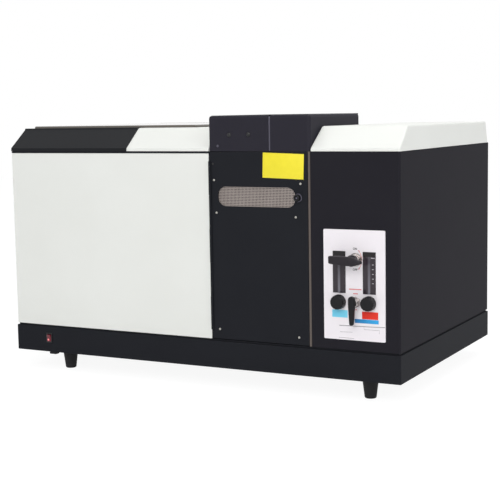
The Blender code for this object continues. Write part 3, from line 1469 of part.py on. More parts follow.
def make_gas_inlets(panel):
    """Brass manifold plate with barbed hose fittings; their tails pass through the panel."""
    z = deck_top + fitting_above_deck
    first = body_right - fitting_from_right
    places = [first - number * fitting_spacing for number in range(fitting_count)]
    plate = block("gas_inlets", (places[-1] - fitting_flange_radius, rear + fit,
                                 z - fitting_flange_radius),
                  (first + fitting_flange_radius, rear + fit + fitting_flange_thick,
                   z + fitting_flange_radius), brass, round_edges=fitting_flange_thick / 4)
    tip = fitting_barb_radius * fitting_tip_share
    barb = (fitting_reach - fitting_flange_thick) / (fitting_barbs + 1)
    profile = [(0, fitting_reach), (tip, fitting_reach)]
    for number in range(fitting_barbs):
        height = fitting_reach - barb * (number + 1)
        profile += [(fitting_barb_radius, height), (tip, height)]
    profile += [(tip, fitting_flange_thick / 2), (fitting_tail_radius, fitting_flange_thick / 2),
                (fitting_tail_radius, -fitting_tail), (0, -fitting_tail)]
    bores = []
    for number, x in enumerate(places):
        fuse(plate, turned(f"hose fitting {number}", profile, (x, rear, z), "+Y", None, sides=small_sides))
        bores.append(rod(f"fitting bore {number}", (x, rear - fitting_tail - overrun, z), "+Y",
                         fitting_tail + fitting_reach + 2 * overrun, fitting_bore_radius,
                         sides=small_sides))
        cut(panel, rod(f"fitting hole {number}", (x, rear - overrun, z), "+Y", 2 * overrun,
                       fitting_tail_radius + fit, sides=round_sides))
    cut(plate, *bores)


def make_fan(panel, x):
    """Square fan behind the panel, with a stator on struts and a bladed rotor."""
    z = deck_top + fan_above_deck
    back = rear - sheet - fit
    start = back - fan_depth
    half = fan_size / 2
    frame = block("fan_frame", (x - half, start, z - half), (x + half, back, z + half),
                  black_plastic, round_edges=fold_round)
    bore = rod("fan bore", (x, start - overrun, z), "+Y", fan_depth + 2 * overrun,
               fan_bore_radius, sides=fan_bore_sides)
    struts = [block("strut x", (x - half + fan_strut / 2, start, z - fan_strut / 2),
                    (x + half - fan_strut / 2, start + fan_strut_depth, z + fan_strut / 2)),
              block("strut z", (x - fan_strut / 2, start, z - half + fan_strut / 2),
                    (x + fan_strut / 2, start + fan_strut_depth, z + half - fan_strut / 2)),
              rod("stator", (x, start, z), "+Y", fan_strut_depth, fan_hub_radius)]
    fuse(cut(frame, bore), *struts)
    cut(panel, rod("fan opening", (x, rear - overrun, z), "+Y", 2 * overrun, fan_bore_radius,
                   sides=fan_bore_sides))
    hub_start = start + fan_strut_depth + fit
    hub_length = back - hub_start - fan_blade_gap
    rotor = rod("fan_rotor", (x, hub_start, z), "+Y", hub_length, fan_hub_radius, black_plastic)
    reach = fan_bore_radius - fan_blade_gap
    for number in range(fan_blade_count):
        blade = block(f"blade {number}",
                      (fan_hub_radius - fan_blade_gap, -fan_blade_thick / 2,
                       -hub_length * blade_chord_share),
                      (reach - fan_blade_gap, fan_blade_thick / 2,
                       hub_length * blade_chord_share), origin=(0, 0, 0))
        turn = Matrix.Rotation(2 * math.pi * number / fan_blade_count, 4, "Z")
        twist = Matrix.Rotation(fan_blade_pitch, 4, "X")
        blade.matrix_world = (Matrix.Translation((x, hub_start + hub_length / 2, z))
                              @ aim("+Y") @ turn @ twist)
        fuse(rotor, blade)


def make_inlet(panel, x):
    """Mains inlet with its recessed socket and three flat pins."""
    z = deck_top + inlet_above_deck
    half_x, half_z = inlet_width / 2, inlet_height / 2
    inlet = block("mains_inlet", (x - half_x, rear + fit, z - half_z),
                  (x + half_x, rear + fit + inlet_proud, z + half_z), black_plastic,
                  round_edges=inlet_proud / 4)
    body_x, body_z = half_x - inlet_border, half_z - inlet_border
    body = block("inlet body", (x - body_x, rear + inlet_proud / 2 - inlet_depth, z - body_z),
                 (x + body_x, rear + inlet_proud / 2, z + body_z))
    socket_z = z + half_z - inlet_border - inlet_socket_height / 2
    wide, tall = inlet_socket_width / 2, inlet_socket_height / 2
    socket_front = rear + fit + inlet_proud - inlet_socket_depth
    tall -= inlet_border / 4
    wide -= inlet_border / 4
    socket = block("inlet socket", (x - wide, socket_front, socket_z - tall),
                   (x + wide, rear + inlet_proud + overrun, socket_z + tall))
    fuse_line = block("fuse drawer line",
                      (x - body_x, rear + fit + inlet_proud / 2, z - body_z + inlet_border),
                      (x + body_x, rear + inlet_proud + overrun,
                       z - body_z + inlet_border + inlet_border / 4))
    pins = [block("inlet pin", (x + offset - inlet_pin / 2, socket_front - inlet_pin,
                                socket_z - inlet_pin),
                  (x + offset + inlet_pin / 2, rear - inlet_pin, socket_z + inlet_pin))
            for offset in (-inlet_pin_spread, 0, inlet_pin_spread)]
    fuse(cut(fuse(inlet, body), socket, fuse_line), *pins)
    cut(panel, block("inlet hole", (x - body_x - fit, rear - overrun, z - body_z - fit),
                     (x + body_x + fit, rear + overrun, z + body_z + fit)))


make_plinth()
make_feet()
make_switch()
make_optics_case()
make_lamp_hatch()
make_burner_bay()
make_hood()
make_door()
make_gas_case()
make_controls()
make_light_path()
make_lamp_turret()
make_optics_boxes()
make_detection()
make_burner()
make_drip_tray()
make_rear_panel()
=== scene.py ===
"""A bench-top flame atomic absorption spectrometer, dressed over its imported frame.

Metres, +Z up; +X to the right along the front, +Y to the back.  Sections follow the instrument
from the table upwards: plinth, casings, burner bay, gas controls, pieces inside, then the back.
"""

import json
import math

import bmesh
import bpy
from mathutils import Matrix, Vector


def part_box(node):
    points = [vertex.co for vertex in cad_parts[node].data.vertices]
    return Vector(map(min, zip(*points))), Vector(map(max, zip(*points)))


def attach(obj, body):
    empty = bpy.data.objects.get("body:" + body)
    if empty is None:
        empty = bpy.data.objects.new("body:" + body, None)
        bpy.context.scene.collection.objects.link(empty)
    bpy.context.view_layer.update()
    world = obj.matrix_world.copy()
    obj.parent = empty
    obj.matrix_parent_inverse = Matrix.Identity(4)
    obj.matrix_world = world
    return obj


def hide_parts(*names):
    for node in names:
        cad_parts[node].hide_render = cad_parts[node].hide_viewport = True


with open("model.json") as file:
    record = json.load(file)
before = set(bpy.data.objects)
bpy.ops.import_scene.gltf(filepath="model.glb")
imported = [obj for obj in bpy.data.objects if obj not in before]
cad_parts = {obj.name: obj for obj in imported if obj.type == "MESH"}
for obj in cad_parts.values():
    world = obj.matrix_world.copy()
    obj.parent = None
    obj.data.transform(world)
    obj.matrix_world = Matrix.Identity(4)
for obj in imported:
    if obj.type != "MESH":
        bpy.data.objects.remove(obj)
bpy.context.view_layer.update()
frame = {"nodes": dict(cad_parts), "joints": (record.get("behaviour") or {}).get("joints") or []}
scene = bpy.context.scene


# Plinth: a folded sheet-steel tray under the whole instrument, with a thinner deck plate laid on
# it a few millimetres in from the edge.  Both have the black powder coat of the casing.

def linear(colour):
    """An sRGB hex colour as linear RGBA."""
    parts = [int(colour[i:i + 2], 16) / 255 for i in (1, 3, 5)]
    return [c / 12.92 if c <= 0.04045 else ((c + 0.055) / 1.055) ** 2.4 for c in parts] + [1.0]


def add_node(tree, kind, settings=None, links=None):
    """Add a shader node; settings go by property or input, links by input."""
    made = tree.nodes.new(kind)
    for key, value in (settings or {}).items():
        if isinstance(key, str) and hasattr(made, key):
            setattr(made, key, value)
        else:
            made.inputs[key].default_value = value
    for key, source in (links or {}).items():
        tree.links.new(source, made.inputs[key])
    return made


def start_material(name, roughness, **sockets):
    """A new material with its tree, its shader and its object coordinates."""
    material = bpy.data.materials.new(name)
    material.use_nodes = True
    tree = material.node_tree
    shader = tree.nodes["Principled BSDF"]
    shader.inputs["Roughness"].default_value = roughness
    for key, value in sockets.items():
        shader.inputs[key.replace("_", " ")].default_value = value
    place = add_node(tree, "ShaderNodeTexCoord").outputs["Object"]
    return material, tree, shader, place


def mottled(name, roughness, waves, detail, dark, light, relief=0.0, peel=0.0, gloss=None,
            **sockets):
    """A finish that drifts between two colours in noise of so many waves to the metre.

    Three numbers of waves make grains that are longer along one axis.  The noise, or waves of
    orange peel, lifts the skin by relief metres, and gloss is a range of roughness.
    """
    material, tree, shader, place = start_material(name, roughness, **sockets)
    if isinstance(waves, tuple):
        scaled = add_node(tree, "ShaderNodeMapping", {"Scale": waves}, {"Vector": place})
        cloud = add_node(tree, "ShaderNodeTexNoise", {"Scale": 1.0, "Detail": detail},
                         {"Vector": scaled.outputs["Vector"]})
    else:
        cloud = add_node(tree, "ShaderNodeTexNoise", {"Scale": waves, "Detail": detail},
                         {"Vector": place})
    tint = add_node(tree, "ShaderNodeMix", {"data_type": "RGBA", 6: linear(dark), 7: linear(light)},
                    {0: cloud.outputs["Fac"]})
    tree.links.new(tint.outputs[2], shader.inputs["Base Color"])
    skin = cloud
    if peel:
        skin = add_node(tree, "ShaderNodeTexNoise", {"Scale": peel, "Detail": 2.0},
                        {"Vector": place})
    if relief:
        bump = add_node(tree, "ShaderNodeBump", {"Strength": 1.0, "Distance": relief},
                        {"Height": skin.outputs["Fac"]})
        tree.links.new(bump.outputs["Normal"], shader.inputs["Normal"])
    if gloss:
        spread = add_node(tree, "ShaderNodeMapRange", {"To Min": gloss[0], "To Max": gloss[1]},
                          {"Value": cloud.outputs["Fac"]})
        tree.links.new(spread.outputs["Result"], shader.inputs["Roughness"])
    return material


def powder_coat(name, dark, light, roughness, specular):
    """Baked powder coat: one even colour whose highlights a fine orange peel softens.

    Real orange peel has waves 1 to 2 mm long; here 2 mm, so that the render still holds it.
    """
    return mottled(name, roughness, 7.0, 4.0, dark, light, relief=0.00003, peel=500.0,
                   Specular_IOR_Level=specular)


def coat(material, *names):
    """Give CAD nodes a finish."""
    for name in names:
        mesh = frame["nodes"][name].data
        mesh.materials.clear()
        mesh.materials.append(material)


black_coat = powder_coat("black powder-coated steel", "#222327", "#26272B", 0.52, 0.025)
coat(black_coat, "base_tray", "deck_plate")


# Feet: four moulded rubber feet, tapered and softly rounded where they meet the table, each held
# by a screw sunk in its sole.  A small rubber pad guards the tray's front edge.

aim = {"+X": Matrix.Rotation(math.pi / 2, 4, "Y"), "-X": Matrix.Rotation(-math.pi / 2, 4, "Y"),
       "+Y": Matrix.Rotation(-math.pi / 2, 4, "X"), "-Y": Matrix.Rotation(math.pi / 2, 4, "X"),
       "+Z": Matrix.Identity(4), "-Z": Matrix.Rotation(math.pi, 4, "X")}


def turned(bm, profile, at, axis="+Z", steps=48, closed=False, reach=None):
    """Sweep (radius, height) points round an axis; reach scales a radius by angle and height."""
    place = Matrix.Translation(at) @ aim[axis]
    rings = []
    for radius, height in profile:
        if radius < 1e-7:
            rings.append([bm.verts.new(place @ Vector((0, 0, height)))] * steps)
            continue
        ring = []
        for angle in (2 * math.pi * i / steps for i in range(steps)):
            out = radius * (reach(angle, height) if reach else 1)
            ring.append(bm.verts.new(place @ Vector((out * math.cos(angle),
                                                     out * math.sin(angle), height))))
        rings.append(ring)
    for one, other in list(zip(rings, rings[1:])) + ([(rings[-1], rings[0])] if closed else []):
        for i in range(steps):
            j = (i + 1) % steps
            corners = list(dict.fromkeys((one[i], one[j], other[j], other[i])))
            if len(corners) > 2:
                bm.faces.new(corners)


def moulded_box(bm, low, high, radius, segments=3):
    """A box between two corners with its edges rounded."""
    low, high = Vector(low), Vector(high)
    shape = Matrix.Translation((low + high) / 2) @ Matrix.Diagonal((*(high - low), 1))
    cube = bmesh.ops.create_cube(bm, size=1.0, matrix=shape)["verts"]
    bmesh.ops.bevel(bm, geom=list({e for v in cube for e in v.link_edges}), offset=radius,
                    segments=segments, profile=0.5, affect="EDGES")


def piece(name, bm, material, body, slot, *replaced):
    """Make a piece of a mesh in the row frame; it rides on a body and may stand for nodes."""
    bmesh.ops.recalc_face_normals(bm, faces=bm.faces)
    mesh = bpy.data.meshes.new(name)
    bm.to_mesh(mesh)
    bm.free()
    mesh.materials.append(material)
    mesh.shade_smooth()
    sharpest_bend = math.radians(40)
    mesh.set_sharp_from_angle(angle=sharpest_bend)
    made = bpy.data.objects.new(name, mesh)
    scene.collection.objects.link(made)
    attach(made, body)
    if replaced:
        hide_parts(*replaced)


def centre(node):
    """Middle of a CAD node's box."""
    low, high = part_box(node)
    return (low + high) / 2


def cross_heads(name, spots, facing, radius, material, body, slot):
    """Pan-head screws: a rounded head with a cross recess at each spot; sizes are shares."""
    sides, recess_reach, recess_half_width, head_height = 40, 0.56, 0.14, 0.5
    bm = bmesh.new()
    for spot in spots:
        place = Matrix.Translation(spot) @ aim[facing]
        rings = []
        for share, height, recess in ((1, 0, False), (1, 0.2, False), (0.93, 0.6, False),
                                      (0.78, 0.93, False), (0.66, 1, False), (1, 1, True),
                                      (0.7, 0.4, True)):
            ring = []
            for angle in (2 * math.pi * i / sides for i in range(sides)):
                near = (angle + math.pi / 4) % (math.pi / 2) - math.pi / 4
                arm = min(recess_reach / math.cos(near),
                          recess_half_width / max(abs(math.sin(near)), 1e-6))
                out = radius * share * (arm if recess else 1)
                ring.append(bm.verts.new(place @ Vector((out * math.cos(angle), out * math.sin(angle),
                                                         height * head_height * radius))))
            rings.append(ring)
        for one, other in zip(rings, rings[1:]):
            for i in range(sides):
                j = (i + 1) % sides
                bm.faces.new((one[i], one[j], other[j], other[i]))
        bm.faces.new(rings[-1])
    piece(name, bm, material, body, slot)


# Moulded rubber: matt, with a dusty bloom that shows as faint lighter clouds.
rubber = mottled("moulded rubber", 0.75, 220.0, 5.0, "#121213", "#222224", relief=0.00006,
                 Specular_IOR_Level=0.3)

# Zinc plate: a soft silver-grey metal with faint spangles 4 mm wide and a slightly uneven gloss.
zinc, tree, shader, place = start_material("zinc-plated steel", 0.34, Metallic=1.0)
spangle = add_node(tree, "ShaderNodeTexVoronoi", {"Scale": 260.0}, {"Vector": place})
tint = add_node(tree, "ShaderNodeMix", {"data_type": "RGBA", 6: linear("#A5A39C"),
                7: linear("#C9C7C0")}, {0: spangle.outputs["Distance"]})
tree.links.new(tint.outputs[2], shader.inputs["Base Color"])
gloss = add_node(tree, "ShaderNodeMapRange", {"To Min": 0.26, "To Max": 0.44},
                 {"Value": spangle.outputs["Distance"]})
tree.links.new(gloss.outputs["Result"], shader.inputs["Roughness"])

foot_profile = [(0, 0.0397), (0.0160, 0.0397), (0.0166, 0.0391), (0.0165, 0.0368),
                (0.0159, 0.0360), (0.0119, 0.0040), (0.0116, 0.0020), (0.0108, 0.0006),
                (0.0096, 0.0), (0.0050, 0.0), (0.0046, 0.0005), (0.0046, 0.0045), (0, 0.0045)]
screw_floor = foot_profile[-1][1]
spots = []
for name in ("foot_front_left", "foot_front_right", "foot_rear_left", "foot_rear_right"):
    bm = bmesh.new()
    spot = centre(name)
    spots.append((spot.x, spot.y, screw_floor))
    turned(bm, foot_profile, (spot.x, spot.y, 0))
    piece("rubber_" + name, bm, rubber, "casing", "foot_rubber", name)
cross_heads("foot_screws", spots, "-Z", 0.0038, zinc, "casing", "zinc_plate")
bm = bmesh.new()
pad_low, pad_high = (-0.3655, -0.2735, 0.0350), (-0.3475, -0.2610, 0.0401)
moulded_box(bm, pad_low, pad_high, 0.0018)
piece("edge_pad", bm, rubber, "casing", "foot_rubber")


# Power switch: a lit rocker of red polycarbonate that snaps into a black ABS bezel in the front
# of the tray.  A small spot on its lower end is painted lighter and made to glow.

def moulded_plastic(name, dark, light, roughness, specular=0.5):
    """Moulded plastic: the spark-eroded mould leaves a fine even grain, 0.6 mm across here."""
    return mottled(name, roughness, 1600.0, 2.0, dark, light, relief=0.00001,
                   Specular_IOR_Level=specular)


def pushed(bm, outline, start, end, axis, edge=0.0, segments=3):
    """Push an outline from start to end along an axis; its sharp edges may be rounded."""
    spots = {"X": lambda a, b, c: (c, a, b), "Y": lambda a, b, c: (a, c, b),
             "Z": lambda a, b, c: (a, b, c)}[axis]
    one = [bm.verts.new(spots(a, b, start)) for a, b in outline]
    other = [bm.verts.new(spots(a, b, end)) for a, b in outline]
    faces = [bm.faces.new(one), bm.faces.new(other)]
    for i in range(len(outline)):
        j = (i + 1) % len(outline)
        faces.append(bm.faces.new((one[i], one[j], other[j], other[i])))
    bmesh.ops.recalc_face_normals(bm, faces=faces)
    if edge:
        least_bend = 0.6
        sharp = [e for e in {e for f in faces for e in f.edges}
                 if e.calc_face_angle(0) > least_bend]
        bmesh.ops.bevel(bm, geom=sharp, offset=edge, segments=segments, profile=0.5,
                        affect="EDGES")


black_abs = moulded_plastic("moulded black ABS", "#141517", "#1C1D20", 0.40, 0.4)
coat(black_abs, "switch_bezel")

pivots = {joint["name"]: Vector(joint["pos_m"]) for joint in frame["joints"] if "pos_m" in joint}
pivot = pivots["power_switch"]
half_width, half_height, key_front, key_depth, key_hollow = 0.0047, 0.0077, 0.0034, 0.0085, 0.00108
tilt_at_rest = math.radians(8)
outline = [(-key_front - key_hollow * (i / 6) ** 2, half_height * i / 6) for i in range(-6, 7)]
outline += [(0.0, half_height * 0.93), (key_depth, half_height / 3), (key_depth, -half_height / 3),
            (0.0, -half_height * 0.93)]
bm = bmesh.new()
pushed(bm, outline, -half_width, half_width, "X", 0.0004, 2)
bm.transform(Matrix.Translation(pivot) @ Matrix.Rotation(tilt_at_rest, 4, "X"))
# Dyed polycarbonate: deep red and glossy, with a small spot on its lower half painted lighter and made
# to glow.
red_lens, tree, shader, place = start_material("red polycarbonate", 0.2)
# A painted bright spot: lighter colour and a glow that fade out within 3 mm of this point.
glowing_spot = pivot + Vector((-0.0014, -0.003, -0.0042))
spot = add_node(tree, "ShaderNodeVectorMath", {"operation": "DISTANCE", 1: glowing_spot}, {0: place})
glow = add_node(tree, "ShaderNodeMapRange", {"From Min": 0.0008, "From Max": 0.0029,
                "To Min": 1.0, "To Max": 0.0}, {"Value": spot.outputs["Value"]})
tint = add_node(tree, "ShaderNodeMix", {"data_type": "RGBA", 6: linear("#6B1224"),
                7: linear("#D9606C")}, {0: glow.outputs["Result"]})
tree.links.new(tint.outputs[2], shader.inputs["Base Color"])
light = add_node(tree, "ShaderNodeMix", {"data_type": "RGBA", 6: linear("#000000"),
                 7: linear("#FF9A94")}, {0: glow.outputs["Result"]})
tree.links.new(light.outputs[2], shader.inputs["Emission Color"])
shader.inputs["Emission Strength"].default_value = 0.7
piece("lit_rocker", bm, red_lens, "power_rocker", "red_switch_plastic", "power_rocker")


# Optics casing: the front panel and the two sloped lids are bent from steel sheet and coated
# white; the black side sheet is held by screws, and a moulded black cover is bent over the lid.

white_coat = powder_coat("white powder-coated steel", "#E3E4DE", "#EAEBE6", 0.45, 0.4)
coat(white_coat, "optics_front_panel", "optics_lid", "gas_lid")
coat(black_coat, "optics_left_panel")
satin_abs = moulded_plastic("moulded black ABS, satin", "#1B1C1E", "#202124", 0.5, 0.1)
coat(satin_abs, "lid_fascia")
# The cover's upper edge is folded over the lid's top in a lip 10 mm deep and 0.9 mm thick.
fascia_low, fascia_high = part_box("lid_fascia")
fold, lid_top = fascia_high.y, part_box("optics_lid")[1].z
under, lip_low, lip_high = fascia_high.z - 0.0006, lid_top + 0.0001, lid_top + 0.0010
bm = bmesh.new()
pushed(bm, [(fold - 0.0011, under), (fold + 0.0008, under), (fold + 0.0008, lip_low),
            (fold + 0.0108, lip_low), (fold + 0.0108, lip_high), (fold + 0.0003, lip_high)],
       fascia_low.x + 0.0025, fascia_high.x, "X", 0.0002, 1)
piece("fascia_edge", bm, satin_abs, "casing", "black_plastic")
black_screw = powder_coat("blackened steel screw", "#161618", "#232326", 0.38, 0.5)
side_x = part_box("optics_left_panel")[0].x
cross_heads("left_side_screws",
            [(side_x, y, z) for y in (-0.262, 0.003, 0.268) for z in (0.112, 0.463)],
            "-X", 0.0028, black_screw, "casing", "black_powder_coat")


# Lamp hatch: a shallow folded steel lid in brown-grey stove enamel, held along its rear edge by
# a long zinc-plated hinge.

# Stove enamel: brown-grey and softly glossy, a little uneven where the spray overlapped.
enamel = mottled("brown-grey stove enamel", 0.16, 9.0, 5.0, "#4A433A", "#5B5349",
                 relief=0.00003, peel=450.0, Coat_Weight=0.8, Coat_Roughness=0.05)
coat(enamel, "lamp_lid")
coat(zinc, "lamp_lid_hinge")


# Burner bay: black powder-coated walls round the burner and a cover behind it, and the narrow
# beige strip that covers the joint with the gas section.

coat(black_coat, "burner_left_wall", "burner_right_wall", "burner_rear_wall")
# Anodised aluminium strip: a warm beige-grey metal with fine lines drawn along it, 0.5 mm here.
beige = mottled("beige anodised aluminium", 0.4, (2000.0, 2000.0, 12.0), 3.0, "#4E4541", "#665D57",
                Metallic=0.35)
coat(beige, "edge_strip")


# Hood: two folded covers round the open chimney, in the casing's black coat, painted a little lighter
# and bluer here as painted light from above.  Two domed plugs close unused holes, one screw is left,
# and a slate-grey joining strip shows in the seam.

# A lighter, bluer copy of the casing's black coat: painted light for the light falling on the hood from
# above.
hood_coat_painted_lighter = powder_coat("black powder-coated steel, hood, painted lighter", "#2B2A31", "#302E36", 0.5, 0.05)
coat(hood_coat_painted_lighter, "hood_left_cover", "hood_right_cover")
hood_low, hood_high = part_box("hood_left_cover")
face = hood_low.y
bm = bmesh.new()
for x, z in ((0.0918, 0.5091), (0.1347, 0.5099)):
    turned(bm, [(0.0045, 0), (0.0044, 0.0005), (0.0036, 0.0014), (0.0020, 0.0021), (0, 0.0024)],
           (x, face, z), "-Y", 32)
piece("hood_plugs", bm, black_abs, "casing", "black_plastic")
strip_coat = powder_coat("slate-grey powder-coated steel", "#5E5C67", "#64626E", 0.5, 0.1)
cross_heads("hood_screw", [(0.0657, face, 0.4876)], "-Y", 0.0024, strip_coat, "casing",
            "black_powder_coat")
bm = bmesh.new()
seam, half_width = (hood_high.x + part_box("hood_right_cover")[0].x) / 2, 0.008
moulded_box(bm, (seam - half_width, face + 0.0019, hood_low.z + 0.001),
            (seam + half_width, face + 0.0027, hood_high.z - 0.003), 0.0002, 1)
piece("seam_strip", bm, strip_coat, "casing", "black_powder_coat")


# Burner door: a folded steel panel on a long hinge, with a perforated steel screen clamped
# behind its flame window, a knurled latch knob and a bare yellow label.

def carved(body, *cutters):
    """The body's mesh with the cutters' meshes taken out of it."""
    made = []
    for bm in (body, *cutters):
        bmesh.ops.recalc_face_normals(bm, faces=bm.faces)
        mesh = bpy.data.meshes.new("cut")
        bm.to_mesh(mesh)
        bm.free()
        made.append(bpy.data.objects.new("cut", mesh))
        scene.collection.objects.link(made[-1])
    for cutter in made[1:]:
        step = made[0].modifiers.new("cut", "BOOLEAN")
        step.operation, step.solver, step.object = "DIFFERENCE", "EXACT", cutter
    result = bmesh.new()
    result.from_object(made[0], bpy.context.evaluated_depsgraph_get())
    for one in made:
        bpy.data.objects.remove(one)
    return result


def rod(bm, radius, start, end, at, axis, sides):
    """A plain bar from one height to another along an axis."""
    turned(bm, [(0, start), (radius, start), (radius, end), (0, end)], at, axis, sides)


coat(black_coat, "door_panel", "door_hinge")
door_face = pivots["door_latch"].y
cross_heads("door_screws",
            [(x, door_face, z) for x, z in ((0.0559, 0.4199), (0.0604, 0.3549), (0.0632, 0.1200),
                                            (0.2459, 0.4148), (0.2352, 0.3503), (0.2396, 0.1155))],
            "-Y", 0.0024, zinc, "door", "zinc_plate")
cross_heads("door_dark_screw", [(0.0539, door_face, 0.4520)], "-Y", 0.0022, black_screw,
            "door", "black_powder_coat")

screen_low, screen_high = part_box("door_screen")
knob = centre("door_knob")
knob.z = (screen_low.z + screen_high.z) / 2
slot_middle = (screen_low.x + screen_high.x) / 2
pitch, hole, columns, rows = 0.0031, 0.0011, 57, 14
x_start, z_start = slot_middle - columns * pitch / 2, knob.z - rows * pitch / 2
bm = bmesh.new()
for column in range(columns):
    for row in range(rows):
        x, z = x_start + (column + 0.5) * pitch, z_start + (row + 0.5) * pitch
        inner, outer = [], []
        for k in range(8):
            angle = math.pi / 4 * k
            far = pitch / 2 / max(abs(math.cos(angle)), abs(math.sin(angle)))
            inner.append(bm.verts.new((x + hole * math.cos(angle), 0, z + hole * math.sin(angle))))
            outer.append(bm.verts.new((x + far * math.cos(angle), 0, z + far * math.sin(angle))))
        for k in range(8):
            bm.faces.new((inner[k], outer[k], outer[(k + 1) % 8], inner[(k + 1) % 8]))
bmesh.ops.remove_doubles(bm, verts=bm.verts, dist=1e-5)
bmesh.ops.translate(bm, vec=(0, screen_low.y + 0.0001, 0), verts=bm.verts)
bmesh.ops.recalc_face_normals(bm, faces=bm.faces)
bmesh.ops.solidify(bm, geom=list(bm.faces), thickness=0.0006)
# Perforated steel sheet: dull grey, with a burnt brown tinge that heat has left on it.
screen_steel = mottled("perforated steel sheet", 0.5, 24.0, 4.0, "#958B86", "#ABA19C", Metallic=0.75)
piece("flame_screen", bm, screen_steel, "door", "zinc_plate", "door_screen")
passage_radius, passage_length = 0.0028, 0.02
passage_start = (knob.x, screen_low.y - 0.01, knob.z)
frame_bm, window, passage = bmesh.new(), bmesh.new(), bmesh.new()
lap, through = 0.0002, 0.01
moulded_box(frame_bm, (screen_low.x, screen_low.y + 0.0001, screen_low.z), screen_high, 0.0003, 1)
moulded_box(window, (x_start + lap, screen_low.y - through, z_start + lap),
            (x_start + columns * pitch - lap, screen_low.y + through, z_start + rows * pitch - lap),
            0.0004, 1)
rod(passage, passage_radius, 0, passage_length, passage_start, "+Y", 24)
piece("screen_clamp", carved(frame_bm, window, passage), screen_steel, "door", "zinc_plate")
# Heat-proof glass behind the screen: dark green like a welder's glass, so the holes look dark.
heat_glass = mottled("dark heat-proof glass", 0.15, 12.0, 2.0, "#17201F", "#1E2927", IOR=1.5,
                     Specular_IOR_Level=0.2, Transmission_Weight=0.6)
pane, passage = bmesh.new(), bmesh.new()
inset, glass_thickness = 0.002, 0.0014
glass_front = screen_high.y + 0.0002
moulded_box(pane, (screen_low.x + inset, glass_front, screen_low.z + inset),
            (screen_high.x - inset, glass_front + glass_thickness, screen_high.z - inset), 0.0003, 1)
rod(passage, passage_radius, 0, passage_length, passage_start, "+Y", 24)
piece("screen_glass", carved(pane, passage), heat_glass, "door", "smoked_acrylic")

bm = bmesh.new()
knurl_count = 24
turned(bm, [(0, 0.0068), (0.0026, 0.0068), (0.0030, 0.0074), (0.0042, 0.0092), (0.0052, 0.0096),
            (0.0062, 0.0092), (0.0069, 0.0082), (0.0070, 0.0074), (0.0070, 0.0022),
            (0.0066, 0.0014), (0.0050, 0.0003), (0.0022, 0.0003), (0.0022, -0.0154), (0, -0.0154)],
       (knob.x, door_face, knob.z), "-Y", 96,
       reach=lambda angle, height: (1 - 0.045 * (0.5 - 0.5 * math.cos(knurl_count * angle))
                                    if 0.002 < height < 0.0083 else 1))
cam_low, cam_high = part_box("door_knob")
pushed(bm, [(knob.x - 0.0035, cam_low.z + 0.0010), (knob.x - 0.0025, cam_low.z),
            (knob.x + 0.0025, cam_low.z), (knob.x + 0.0035, cam_low.z + 0.0010),
            (knob.x + 0.0035, knob.z + 0.0015), (knob.x + 0.0015, knob.z + 0.0035),
            (knob.x - 0.0015, knob.z + 0.0035), (knob.x - 0.0035, knob.z + 0.0015)],
       cam_high.y - 0.0022, cam_high.y, "Y", 0.0003, 1)
knob_plastic = moulded_plastic("moulded black phenolic", "#121214", "#1A1A1D", 0.3, 0.2)
piece("latch_knob", bm, knob_plastic, "latch", "black_plastic", "door_knob")
# A slate-grey rosette lies under the knob, and a screw end in the same slate-grey coat shows in its
# middle.
bm = bmesh.new()
turned(bm, [(0.0060, 0.0002), (0.0081, 0.0002), (0.0083, 0.0005), (0.0080, 0.0010),
            (0.0060, 0.0010)], (knob.x, door_face, knob.z), "-Y", 48, closed=True)
turned(bm, [(0, 0.0066), (0.0021, 0.0066), (0.0021, 0.0076), (0.0017, 0.0081), (0, 0.0082)],
       (knob.x, door_face, knob.z), "-Y", 32)
piece("latch_rosette", bm, strip_coat, "latch", "black_plastic")

# Painted aluminium label: flat bright yellow, a little chalky.
label = mottled("yellow enamelled aluminium label", 0.5, 90.0, 4.0, "#EADA22", "#F5E52E")
bm = bmesh.new()
half_width, half_height = 0.0440, 0.0243
moulded_box(bm, (-half_width, -0.0004, -half_height), (half_width, -0.0001, half_height), 0.00012, 2)
# It was stuck on by hand, about two degrees out of true.
middle, out_of_true = (0.2092, door_face, 0.4489), math.radians(1.9)
bm.transform(Matrix.Translation(middle) @ Matrix.Rotation(out_of_true, 4, "Y"))
piece("bare_label", bm, label, "door", "printed_panel")


# Gas section: one steel sheet bent round the front and the right side, coated black, with its
# own white sloped lid.

gas_coat = powder_coat("black powder-coated steel, gas section", "#242328", "#28272C", 0.52, 0.02)
coat(gas_coat, "gas_case")


# Control panel: a stiff polyester overlay, printed from behind and stuck to the casing.  The
# prints are bare colour fields and thin lines; only the upper valve has words, ON and OFF.

# Polyester overlay: off-white with a faint lilac cast and a fine satin tooth.
print_face = mottled("printed polyester overlay", 0.42, 700.0, 3.0, "#EEE8EC", "#F4EFF2",
                     relief=0.00001)
coat(print_face, "control_panel")
panel_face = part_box("control_panel")[0].y
ink_front, ink_back = panel_face - 0.00008, panel_face - 0.00002


def ink(name, left_colour, right_colour, x_low, x_high):
    """Screen-printing ink that may run from one colour to another along the field."""
    material, tree, shader, place = start_material(name, 0.5, Specular_IOR_Level=0.35)
    apart = add_node(tree, "ShaderNodeSeparateXYZ", {}, {0: place})
    run = add_node(tree, "ShaderNodeMapRange", {"From Min": x_low, "From Max": x_high},
                   {"Value": apart.outputs["X"]})
    # Ink lies a little unevenly: a stipple of about 1 mm is added to the run of colour.
    stipple = add_node(tree, "ShaderNodeTexNoise", {"Scale": 900.0}, {"Vector": place})
    share = add_node(tree, "ShaderNodeMath", {"operation": "MULTIPLY_ADD", 1: 0.12},
                     {0: stipple.outputs["Fac"], 2: run.outputs["Result"]})
    tint = add_node(tree, "ShaderNodeMix", {"data_type": "RGBA", 6: linear(left_colour),
                    7: linear(right_colour)}, {0: share.outputs[0]})
    tree.links.new(tint.outputs[2], shader.inputs["Base Color"])
    return material


